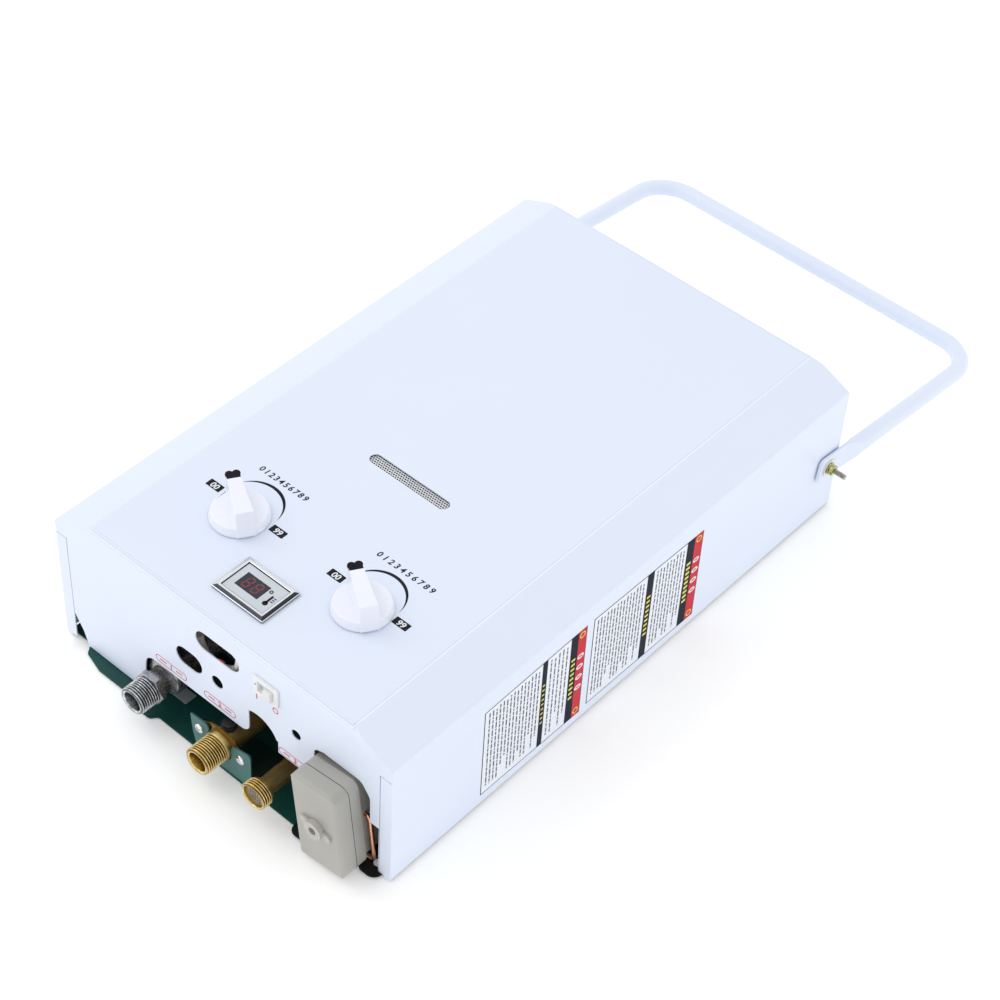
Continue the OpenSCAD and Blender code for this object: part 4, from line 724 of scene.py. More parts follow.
def swept(points: tuple, radius: float, sides: int = 20) -> Shell:
    """A tube along a soft line through points that lie in one plane Y = constant.

    The line is the points' straight run averaged over a moving window, and each ring is centre + radius
    (cos a across + sin a Y), where across is square to the line inside the plane.

    Args:
        points: the points (x, y, z).
        radius: the tube's radius.
        sides: points round the tube.

    Returns:
        The closed surface.
    """
    count, window = 60, 13
    knots = np.array(points, float)
    step = np.linspace(0.0, len(knots) - 1.0, count)
    line = np.stack([np.interp(step, np.arange(len(knots)), one) for one in knots.T], axis=1)
    padded = np.pad(line, ((window // 2, window // 2), (0, 0)), mode="edge")
    even = np.full(window, 1.0 / window)
    line = np.stack([np.convolve(one, even, "valid") for one in padded.T], axis=1)
    ahead = np.gradient(line, axis=0)
    ahead /= np.linalg.norm(ahead, axis=1)[:, None]
    y_axis = np.array([0.0, 1.0, 0.0])
    across = np.cross(ahead, y_axis)
    turn = full_turn(sides)[..., None]
    rings = line[:, None, :] + radius * (np.cos(turn) * across[:, None, :] + np.sin(turn) * y_axis)
    return Shell.of_rings(rings)


def figures(text: str, place: Place, size: float, low: float, high: float, slant: float = 0.0) -> Shell:
    """Plain figures as thin closed slabs lying in a place, with their middle at its origin.

    Args:
        text: the figures.
        place: where they lie.
        size: height of a figure in mm.
        low: where a slab starts, along the place's z.
        high: where it ends.
        slant: how far the top leans, as a share of the height.

    Returns:
        The surface.
    """
    figure_share, weight = 0.73, 0.03
    curve = bpy.data.curves.new("figures", "FONT")
    curve.body = text
    curve.size = size / figure_share
    curve.shear = slant
    curve.offset = weight * size
    curve.resolution_u = 3
    curve.extrude = 0.5
    curve.align_x = "CENTER"
    holder = add_object("figures", curve)
    bpy.context.view_layer.update()
    mesh = bpy.data.meshes.new_from_object(holder.evaluated_get(bpy.context.evaluated_depsgraph_get()))
    points = coordinates(mesh)
    points[:, 2] = low + (points[:, 2] + 0.5) * (high - low)
    points[:, 1] -= size / 2.0
    faces = [list(face.vertices) for face in mesh.polygons]
    bpy.data.objects.remove(holder)
    bpy.data.curves.remove(curve)
    bpy.data.meshes.remove(mesh)
    return Shell(place.put(points), faces)


# ---------------------------------------------------------------- objects


def add_object(name: str, data: bpy.types.ID) -> bpy.types.Object:
    """Adds an object to the scene.

    Args:
        name: its name.
        data: the mesh, curve, lamp or camera that it holds.

    Returns:
        The object.
    """
    obj = bpy.data.objects.new(name, data)
    bpy.context.scene.collection.objects.link(obj)
    return obj


def coordinates(mesh: bpy.types.Mesh) -> Array:
    """The places of a mesh's points.

    Args:
        mesh: the mesh.

    Returns:
        One row of x, y and z for each point, in metres.
    """
    flat = np.zeros(len(mesh.vertices) * 3)
    mesh.vertices.foreach_get("co", flat)
    return flat.reshape(-1, 3)


def put_shade(mesh: bpy.types.Mesh, shade: Array) -> None:
    """Gives a mesh its shade attribute, with one value for each point."""
    mesh.attributes.new("shade", "FLOAT", "POINT").data.foreach_set("value", shade.astype(np.float32))


@contextmanager
def editing(mesh: bpy.types.Mesh, gap: float = 0.0) -> Iterator[bmesh.types.BMesh]:
    """Opens a mesh for edits and puts them back when they are done.

    Args:
        mesh: the mesh.
        gap: points nearer to each other than this, in metres, are merged first.

    Yields:
        The open mesh.
    """
    work = bmesh.new()
    work.from_mesh(mesh)
    if gap:
        bmesh.ops.remove_doubles(work, verts=work.verts, dist=gap)
    yield work
    work.to_mesh(mesh)
    work.free()


def close_up(work: bmesh.types.BMesh) -> None:
    """Drops the faces of an open mesh that have no area, and turns the others outward."""
    bmesh.ops.dissolve_degenerate(work, edges=work.edges, dist=1e-6)
    bmesh.ops.recalc_face_normals(work, faces=work.faces)


def smooth(mesh: bpy.types.Mesh, sharp: float) -> None:
    """Smooths a mesh but for the edges that turn by more than so many degrees."""
    mesh.shade_smooth()
    mesh.set_sharp_from_angle(angle=math.radians(sharp))


def settle(obj: bpy.types.Object, finish: Finish, body: str, replaced: tuple[str, ...]) -> bpy.types.Object:
    """Gives an object its finish and the body it rides on, and hides the nodes it stands for.

    Args:
        obj: the object.
        finish: what it is finished with.
        body: the body it rides on.
        replaced: nodes that it stands for.

    Returns:
        The object.
    """
    obj.data.materials.clear()
    obj.data.materials.append(finish.material())
    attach(obj, body)
    if replaced:
        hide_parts(*replaced)
    LOG.info("piece %s: %d faces, rides on %s", obj.name, len(obj.data.polygons), body)
    return obj


def round_edges(obj: bpy.types.Object, width_mm: float, segments: int = 2, angle: float = 28.0) -> None:
    """Rounds an object's sharp edges, or only keeps its flat faces flat in the light.

    Args:
        obj: the object.
        width_mm: width of the rounding, 0 for none.
        segments: facets across it.
        angle: edges that turn by more than this many degrees are sharp.
    """
    if width_mm > 0.0:
        bevel = obj.modifiers.new("edges", "BEVEL")
        bevel.width = width_mm * MM
        bevel.segments = segments
        bevel.limit_method = "ANGLE"
        bevel.angle_limit = math.radians(angle)
        bevel.harden_normals = True
    else:
        level = obj.modifiers.new("level_faces", "WEIGHTED_NORMAL")
        level.keep_sharp = True
        level.weight = 80


def build(name: str, shell: Shell, finish: Finish, *replaced: str, body: str = "housing",
          sharp: float = 35.0, width_mm: float = 0.0) -> bpy.types.Object:
    """Makes an object of a surface: welds its seams and poles, turns its faces outward and smooths them.

    Args:
        name: the piece's name.
        shell: the surface in mm in the row frame.
        finish: what it is finished with.
        replaced: nodes that it stands for.
        body: the body it rides on.
        sharp: edges that turn by more than this many degrees stay sharp.
        width_mm: width of the rounding of its sharp edges.

    Returns:
        The object.
    """
    mesh = bpy.data.meshes.new(name)
    mesh.from_pydata((shell.points * MM).tolist(), [], shell.faces)
    if shell.shade is not None:
        put_shade(mesh, shell.shade)
    with editing(mesh, 2e-6) as work:
        close_up(work)
    smooth(mesh, sharp)
    obj = add_object(name, mesh)
    if width_mm > 0.0:
        round_edges(obj, width_mm)
    return settle(obj, finish, body, replaced)


def softened(node: str, finish: Finish, width_mm: float = 0.0, sharp: float = 28.0, segments: int = 2,
             painted_shade_y: tuple[float, float] | None = None) -> bpy.types.Object:
    """Stands for a node with a merged copy of it, whose round faces are smooth and whose edges are rounded.

    Optionally its shade attribute is painted shade, 1 - smooth_step((y - first) / (last - first)), so it
    darkens inward where the piece lies in shade.

    Args:
        node: the node.
        finish: what it is finished with.
        width_mm: width of the rounding of its edges.
        sharp: edges that turn by more than this many degrees stay sharp.
        segments: facets across the rounding.
        painted_shade_y: where along Y the darkening starts and where it ends.

    Returns:
        The object.
    """
    source = frame["nodes"][node]
    mesh = source.data.copy()
    mesh.name = node + "_soft"
    with editing(mesh, 2e-6) as work:
        bmesh.ops.dissolve_limit(work, angle_limit=math.radians(0.4), verts=work.verts, edges=work.edges)
    if "custom_normal" in mesh.attributes:
        mesh.attributes.remove(mesh.attributes["custom_normal"])
    smooth(mesh, sharp)
    # painted shade, darkening the piece inward along Y
    if painted_shade_y:
        first, last = painted_shade_y
        put_shade(mesh, 1.0 - smooth_step((coordinates(mesh)[:, 1] / MM - first) / (last - first)))
    obj = add_object(node + "_soft", mesh)
    round_edges(obj, width_mm, segments, sharp)
    return settle(obj, finish, source["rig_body"], (node,))


def dress(finish: Finish, *nodes: str) -> None:
    """Gives nodes that stay as they are their finish.

    Args:
        finish: the finish.
        nodes: their names.
    """
    for node in nodes:
        mesh = frame["nodes"][node].data
        mesh.materials.clear()
        mesh.materials.append(finish.material())
        LOG.info("node %s: %s", node, finish.name)


@dataclass
class Ink:
    """Printed marks of one colour on one face of the heater, as slabs that stand a hair proud of it."""

    name: str
    finish: Finish
    place: Place
    proud: float = 0.07
    root: float = -0.03
    marks: list = field(default_factory=list)

    def outline(self, line: Array) -> None:
        """Adds a filled outline given in the place's own x and y."""
        self.marks.append(prism(line, self.place, self.root, self.proud))

    def box(self, u0: float, v0: float, u1: float, v1: float, radius: float = 0.01) -> None:
        """Adds a filled rectangle between two corners."""
        middle = [(u0 + u1) / 2.0, (v0 + v1) / 2.0]
        self.outline(rounded_outline(abs(u1 - u0), abs(v1 - v0), radius) + middle)

    def border(self, u: float, v: float, width: float, height: float, radius: float, line: float) -> None:
        """Adds an open rounded frame with its middle at u, v."""
        profile = [(0.0, self.root), (0.0, self.proud), (line, self.proud), (line, self.root)]
        self.marks.append(framed(profile, width, height, radius, self.place.at(u, v)))

    def ring(self, u: float, v: float, across: float, line: float) -> None:
        """Adds an open ring with its middle at u, v."""
        self.border(u, v, across, across, across / 2.0, line)

    def text(self, wording: str, u: float, v: float, size: float, slant: float = 0.0) -> None:
        """Adds plain figures with their middle at u, v."""
        self.marks.append(figures(wording, self.place.at(u, v), size, self.root, self.proud, slant))

    def done(self) -> bpy.types.Object:
        """Makes all the marks one object."""
        return build(self.name, Shell.joined(self.marks), self.finish, sharp=25.0)


# ---------------------------------------------------------------- the heater's sub-assemblies


@dataclass
class Casing:
    """The white shell, the plate behind it and the perforated sheet in its viewing slot."""

    edge: float = 0.3
    view_y: float = 174.0
    view_z: float = 121.7
    view_length: float = 79.0
    view_width: float = 19.0
    view_t: float = 0.5
    pitch: float = 1.9
    hole: float = 1.5

    def make(self) -> None:
        """Builds the shell and dresses what it carries."""
        softened("front_cover", ENAMEL, self.edge, sharp=19.0)
        softened("back_plate", PLATE_GREEN, self.edge)
        self.view_sheet()
        dress(SCREW_STEEL, "cover_screws")

    def view_sheet(self) -> None:
        """The perforated sheet: rows of round holes, every other row half a pitch along.

        Each cell is a ring of eight faces between its own square and its hole's circle; the flat sheet is
        then given its thickness, so that it closes at every edge.
        """
        corners = 8
        rows, cols = int(self.view_width / self.pitch), int((self.view_length - self.pitch) / self.pitch)
        j, i = np.meshgrid(np.arange(rows), np.arange(cols), indexing="ij")
        x = (i - cols / 2.0 + 0.25 + 0.5 * (j % 2)) * self.pitch
        y = (j - (rows - 1) / 2.0) * self.pitch + self.view_y
        turn = full_turn(corners)[0]
        circle = np.stack([np.cos(turn), np.sin(turn)], axis=-1)
        square = circle / np.max(np.abs(circle), axis=1)[:, None] * self.pitch / 2.0
        centre = np.stack([x, y], axis=-1).reshape(-1, 1, 2)
        flat = np.concatenate([centre + square, centre + circle * self.hole / 2.0], axis=1).reshape(-1, 2)
        points = np.column_stack([flat, np.full(len(flat), self.view_z)])
        k = np.arange(corners)
        ring = np.stack([k, (k + 1) % corners, (k + 1) % corners + corners, k + corners], axis=-1)
        faces = (np.arange(rows * cols)[:, None, None] * 2 * corners + ring).reshape(-1, 4).tolist()
        obj = build("view_sheet", Shell(points, faces), MESH, "view_mesh", sharp=40.0)
        with editing(obj.data) as work:
            bmesh.ops.solidify(work, geom=work.faces[:], thickness=self.view_t * MM)
            bmesh.ops.recalc_face_normals(work, faces=work.faces)


@dataclass
class EndMarks:
    """The numbered red frames over the three ports and the marks at the switch."""

    frame_x: tuple = (-44.9, 0.0, 67.5)
    frame_z: tuple = (47.5, 47.8, 49.0)
    width: float = 29.0
    height: float = 6.7
    corner: float = 3.3
    line: float = 0.6
    figure: float = 4.5
    dash_start: float = 4.5
    dash_end: float = 10.5
    dash_half: float = 0.5
    stroke: Triple = (34.5, 85.3, 5.2)
    ring: Triple = (51.0, 84.3, 5.2)
    ring_line: float = 0.8

    def make(self) -> None:
        """Prints the marks."""
        ink = Ink("port_marks", INK_RED, END)
        for number, (x, z) in enumerate(zip(self.frame_x, self.frame_z), start=1):
            ink.border(x, z, self.width, self.height, self.corner, self.line)
            ink.text(str(number), x, z, self.figure)
            for start in (x - self.dash_end, x + self.dash_start):
                length = self.dash_end - self.dash_start
                ink.box(start, z - self.dash_half, start + length, z + self.dash_half, 0.4)
        ink.text("1", *self.stroke)
        ink.ring(*self.ring, self.ring_line)
        ink.done()


@dataclass
class Folds:
    """The fine bright and darker lines where the sheet is bent, along the right crease and the pipe end."""

    crease_x: float = 117.0
    length: float = 460.0
    margin: float = 1.0
    proud: float = 0.03
    # inset and width of the painted highlight line, then of the painted shade line
    light: tuple[float, float] = (0.55, 0.5)
    dark: tuple[float, float] = (1.5, 0.4)

    def make(self) -> None:
        """Draws both lines, each given by its inset from the fold and its width."""
        # the bright line is a painted highlight and the darker line is painted shade along the bends
        for name, finish, (inset, width) in (("painted_bend_highlight", PAINTED_BEND_HIGHLIGHT, self.light),
                                             ("painted_bend_shade", PAINTED_BEND_SHADE, self.dark)):
            ink = Ink(name, finish, FRONT, self.proud)
            x = self.crease_x - inset
            ink.box(x - width, inset, x, self.length - self.margin)
            ink.box(self.margin - self.crease_x, inset, x - width, inset + width)
            ink.done()


@dataclass
class InsideTheHoles:
    """What shows through the end wall's holes: a bright plate, a white sleeve and a red lead."""

    plate: Triple = (-53.5, 15.0, 1.2)
    plate_size: Triple = (17.0, 10.0, 0.5)
    sleeve_y: float = 6.5
    sleeve_r: float = 3.1
    sleeve: tuple = ((-23.7, 93.5), (-22.3, 81.5), (-15.1, 75.0), (-5.1, 73.6), (7.2, 80.6), (13.3, 89.1),
                     (14.0, 100.0))
    lead_y: float = 2.6
    lead_r: float = 0.75
    lead: tuple = ((-9.0, 86.0), (-5.0, 85.0), (-1.0, 88.5), (4.0, 89.0))

    def make(self) -> None:
        """Builds the plate, the sleeve and the lead, whose routes are points (x, z)."""
        width, length, thick = self.plate_size
        slab = prism(rounded_outline(width, length, 0.8), Place(self.plate, FRONT.x, FRONT.y), 0.0, thick)
        build("gas_port_plate", slab, SUPPORT, sharp=30.0, width_mm=0.15)
        sleeve = [(x, self.sleeve_y, z) for x, z in self.sleeve]
        build("cable_sleeve", swept(sleeve, self.sleeve_r), CREAM, sharp=60.0)
        lead = [(x, self.lead_y, z) for x, z in self.lead]
        build("cable_lead", swept(lead, self.lead_r, 12), WIRE, sharp=60.0)


@dataclass(frozen=True)
class Sticker:
    """One plain ruled sticker: its corners, and where its bands and its blocks of rows lie along Y.

    The corners are (y, z): near top, near bottom, far bottom, far top.
    """

    corners: tuple
    span: tuple[float, float]
    red_band: tuple[float, float]
    dark_bands: tuple
    blocks: tuple

    def inside(self, y: float, side: float) -> tuple[float, float]:
        """The wall's own u and v of a point of the sticker.

        The top edge and the bottom edge are straight lines in y, and side runs from one to the other.

        Args:
            y: where the point lies along Y.
            side: its share of the way from the top edge to the bottom edge.

        Returns:
            The point's u and v.
        """
        (y0, z0), (y1, z1), (y2, z2), (y3, z3) = self.corners
        top = z0 + (z3 - z0) * (y - y0) / (y3 - y0)
        bottom = z1 + (z2 - z1) * (y - y1) / (y2 - y1)
        return -(top + (bottom - top) * side), y

    def strip(self, ink: Ink, y0: float, y1: float, s0: float = 0.0, s1: float = 1.0) -> None:
        """Adds a filled strip between two lengths and two shares of the width."""
        line = [self.inside(y, side) for y, side in ((y0, s0), (y0, s1), (y1, s1), (y1, s0))]
        ink.outline(np.array(line))


@dataclass
class Stickers:
    """Two plain ruled stickers on the right wall, with bands, rows and figures in place of words."""

    near: Sticker = Sticker(((81.3, 92.0), (84.5, 10.1), (183.0, 8.6), (178.3, 94.6)), (83.0, 180.5),
                            (172.2, 180.0), ((165.0, 172.2), (137.5, 142.3)), ((86.0, 136.0), (144.0, 163.5)))
    far: Sticker = Sticker(((186.3, 94.5), (188.2, 10.6), (301.0, 8.8), (299.3, 92.4)), (187.3, 300.2),
                           (291.2, 299.8), ((283.0, 291.2), (241.5, 248.5)), ((190.0, 239.5), (250.5, 281.5)))
    line: float = 0.65
    height: float = 84.0
    zero: float = 6.4
    zero_sides: tuple = (0.3, 0.42, 0.54, 0.66)
    ring: float = 5.6
    ring_line: float = 0.8
    ring_sides: tuple = (0.06, 0.94)
    block_sides: tuple = (0.28, 0.72, 9)
    block_share: float = 0.5
    block_half: float = 0.28
    row_pitch: float = 3.3
    row_half: float = 0.62
    row_start: float = 0.045
    row_indent: float = 0.02
    row_end: float = 0.93
    row_short: float = 0.11
    row_shorter: float = 0.2
    dash: float = 0.022
    dash_step: float = 0.016
    dash_gap: float = 0.013

    def make(self) -> None:
        """Builds the films, the bands, the rules and the figures."""
        film = Ink("sticker_films", LABEL_FILM, RIGHT, 0.08)
        rules = Ink("sticker_rules", INK_GREY, RIGHT, 0.11)
        edge = Ink("sticker_edges", INK, RIGHT, 0.12)
        dark = Ink("sticker_dark_bands", LABEL_DARK, RIGHT, 0.13)
        red = Ink("sticker_red_bands", LABEL_RED, RIGHT, 0.13)
        yellow = Ink("sticker_yellow_figures", INK_YELLOW, RIGHT, 0.16)
        white = Ink("sticker_white_figures", INK_WHITE, RIGHT, 0.16)
        for sticker in (self.near, self.far):
            sticker.strip(film, *sticker.span)
            self.rim(edge, sticker)
            self.red_band(red, white, yellow, sticker)
            for band in sticker.dark_bands:
                self.dark_band(dark, yellow, sticker, band)
            for start, end in sticker.blocks:
                self.rows(rules, sticker, start, end)
        for ink in (film, rules, edge, dark, red, yellow, white):
            ink.done()

    def rim(self, ink: Ink, sticker: Sticker) -> None:
        """Rules the sticker's outline.

        Args:
            ink: the ink.
            sticker: the sticker.
        """
        low, high = sticker.span
        share = self.line / self.height
        sticker.strip(ink, low, low + self.line)
        sticker.strip(ink, high - self.line, high)
        sticker.strip(ink, low, high, 0.0, share)
        sticker.strip(ink, low, high, 1.0 - share, 1.0)

    def red_band(self, red: Ink, white: Ink, yellow: Ink, sticker: Sticker) -> None:
        """Adds the red band with its row of zeros and a ring at both ends.

        Args:
            red: ink of the band.
            white: ink of the zeros.
            yellow: ink of the rings.
            sticker: the sticker.
        """
        low, high = sticker.red_band
        sticker.strip(red, low, high)
        for side in self.zero_sides:
            white.text("0", *sticker.inside((low + high) / 2.0, side), self.zero)
        for side in self.ring_sides:
            yellow.ring(*sticker.inside((low + high) / 2.0, side), self.ring, self.ring_line)

    def dark_band(self, dark: Ink, yellow: Ink, sticker: Sticker, band: tuple[float, float]) -> None:
        """Adds one dark band with its row of small blocks, each half as long as the band is wide.

        Args:
            dark: ink of the band.
            yellow: ink of the blocks.
            sticker: the sticker.
            band: where the band starts and ends along Y.
        """
        low, high = band
        sticker.strip(dark, low, high)
        size = (high - low) * self.block_share
        across = size * self.block_half
        for side in np.linspace(*self.block_sides):
            u, v = sticker.inside((low + high) / 2.0, float(side))
            yellow.box(u - across, v - size / 2.0, u + across, v + size / 2.0, 0.3)

    def rows(self, ink: Ink, sticker: Sticker, start: float, end: float) -> None:
        """Fills a block with ruled rows of short dashes, whose lengths follow a fixed uneven beat.

        Args:
            ink: the ink.
            sticker: the sticker.
            start: where the block starts along Y.
            end: where it ends.
        """
        count = int((end - start) / self.row_pitch)
        for row in range(count):
            y = end - (row + 0.5) * (end - start) / count
            side = self.row_start + self.row_indent * (row % 3 == 0)
            last = self.row_end - self.row_short * ((row * 7) % 5 == 0)
            last -= self.row_shorter * ((row * 5) % 7 == 3)
            beat = 0
            while side < last:
                length = self.dash + self.dash_step * ((row * 3 + beat * 5) % 4)
                sticker.strip(ink, y - self.row_half, y + self.row_half, side, min(side + length, last))
                side += length + self.dash_gap
                beat += 1


@dataclass
class Knob:
    """One of the two knobs with its pointer and its printed scale.

    The scale's arc is the part of the outer circle that the inner one leaves, each given by x, y and radius.
    """

    name: str
    outer: Triple
    inner: Triple
    low_label: tuple[float, float]
    high_label: tuple[float, float]
    caption_x: tuple[float, float]
    caption_y: float
    label_half: tuple[float, float] = (6.0, 3.1)
    label_figure: float = 4.6
    caption_figure: float = 4.7

    def make(self) -> None:
        """Builds the knob, its pointer and its scale."""
        softened(self.name + "_knob", KNOB_WHITE, 0.7, sharp=24.0, segments=3)
        softened(self.name + "_pointer", KNOB_BLACK, 0.2, sharp=40.0)
        dress(SCREW_STEEL, self.name + "_spindle")
        ink = Ink(self.name + "_scale", INK, FRONT)
        white = Ink(self.name + "_scale_figures", INK_WHITE, FRONT, 0.1)
        ink.outline(crescent(self.outer, self.inner))
        half_u, half_v = self.label_half
        for figure, (u, v) in (("00", self.low_label), ("99", self.high_label)):
            ink.box(u - half_u, v - half_v, u + half_u, v + half_v, 0.5)
            white.text(figure, u, v, self.label_figure, 0.1)
        for step, u in enumerate(np.linspace(*self.caption_x, 10)):
            ink.text(str(step), float(u), self.caption_y, self.caption_figure, 0.12)
        ink.done()
        white.done()


@dataclass
class Display:
    """The thermometer display: chrome frame, silver panel, dark window and two dim digits."""

    x: float = -3.1
    y: float = 37.5
    width: float = 45.5
    height: float = 34.0
    slope: float = 2.7
    border: float = 4.4
    panel_z: float = 2.2
    panel_line: float = 0.5
    line_gap: float = 0.05
    ring: Triple = (9.4, 4.4, 2.8)
    ring_line: float = 0.75
    stem: tuple = (12.1, -4.4, 13.7, 2.8, 0.8)
    bulb: Triple = (12.9, -4.8, 3.8)
    tick: tuple = (14.4, -1.9, 16.4, -1.2)
    ticks: tuple = (0.0, 1.7, 3.4)
    window: Triple = (-3.0, 0.3, 2.0)
    digit_x: float = 3.9
    digit_w: float = 4.3
    digit_h: float = 8.4
    digit_gap: float = 0.5
    stroke: float = 1.0
    lean: float = 0.14

    def make(self) -> None:
        """Builds the display."""
        place = FRONT.at(self.x, self.y)
        self.chrome_frame(place)
        softened("display_panel", SILVER, 0.1)
        self.panel_marks(place.at(0, 0, self.panel_z))
        softened("display_window", WINDOW, 0.1)
        self.digits(place.at(*self.window))
        dress(CREAM, "display_housing")

    def chrome_frame(self, place: Place) -> None:
        """The frame: a low rim, a slope up to a ridge and a step down to the panel, each with its own shade.

        Args:
            place: the display's place.
        """
        b, slope = self.border, self.slope
        profile = [(0.12, 0.0), (0.0, 0.15), (0.0, 1.65), (0.2, 1.82), (0.42, 1.9), (0.62, 1.86), (0.8, 1.95),
                   (slope - 0.15, 2.86), (slope, 2.97), (slope + 0.25, 3.0), (b - 0.25, 3.0), (b - 0.05, 2.9),
                   (b, 2.7), (b, 0.2), (b - 0.3, 0.0)]
        # painted highlight on the lip and ridge, painted shade on the outer wall and the step down; the
        # second row darkens the slopes that face +X and -Y as a painted reflection
        shade = (0.7, 0.7, 0.8, 1.0, 1.0, 0.7, 0.8, 0.85, 1.0, 1.0, 1.0, 0.9, 0.3, 0.1, 0.1)
        painted_reflection_dark = (0.5, 0.5, 0.4, 0.0, 0.0, 0.95, 0.97, 0.96, 0.9, 0.0, 0.0, 0.0, 0.0, 0.0, 0.0)
        shell = framed(profile, self.width, self.height, 1.0, place, shade, painted_reflection_dark)
        build("display_frame", shell, CHROME, "display_bezel", sharp=40.0)

    def panel_marks(self, place: Place) -> None:
        """The line round the panel, and a ring and a small thermometer as the unit's mark.

        Args:
            place: the panel's place.
        """
        ink = Ink("display_panel_line", INK, place)
        inner = 2.0 * (self.border + self.line_gap)
        ink.border(0.0, 0.0, self.width - inner, self.height - inner, 1.0, self.panel_line)
        ink.ring(*self.ring, self.ring_line)
        ink.box(*self.stem)
        u, v, across = self.bulb
        ink.outline(rounded_outline(across, across, across / 2.0, 8) + [u, v])
        u0, v0, u1, v1 = self.tick
        for rise in self.ticks:
            ink.box(u0, v0 + rise, u1, v1 + rise)
        ink.done()

    def digits(self, place: Place) -> None:
        """Two slanted seven-segment figures, each segment a long hexagon.

        Args:
            place: the window's place.
        """
        ink = Ink("display_digits", SEGMENT, place, 0.05)
        w, h, t = self.digit_w / 2.0, self.digit_h / 4.0, self.stroke / 2.0
        bars = ((0, 2 * h, True), (0, 0, True), (0, -2 * h, True), (-w, h, False), (w, h, False),
                (-w, -h, False), (w, -h, False))
        for middle in (-self.digit_x, self.digit_x):
            for u, v, across in bars:
                end = ((2 * w if across else 2 * h) - self.digit_gap) / 2.0
                bar = np.array([(-end, 0), (t - end, -t), (end - t, -t),
                                (end, 0), (end - t, t), (t - end, t)])
                bar = (bar if across else bar[:, ::-1] * [-1, 1]) + [u, v]
                ink.outline(np.column_stack([bar[:, 0] + middle + self.lean * bar[:, 1], bar[:, 1]]))
        ink.done()


@dataclass
class SlideSwitch:
    """The slide switch on the end wall."""

    x: float = 44.0
    z: float = 98.0
    dot: Triple = (-8.4, 1.0, 1.8)
    dot_across: float = 1.2

    def make(self) -> None:
        """Builds the switch."""
        softened("switch_housing", SWITCH_WHITE, 0.35)
        softened("switch_slider", SLIDER_GREY, 0.4, segments=3)
        ink = Ink("switch_dot", INK, END.at(self.x, self.z).at(*self.dot), 0.05)
        ink.outline(rounded_outline(self.dot_across, self.dot_across, self.dot_across / 2.0))
        ink.done()


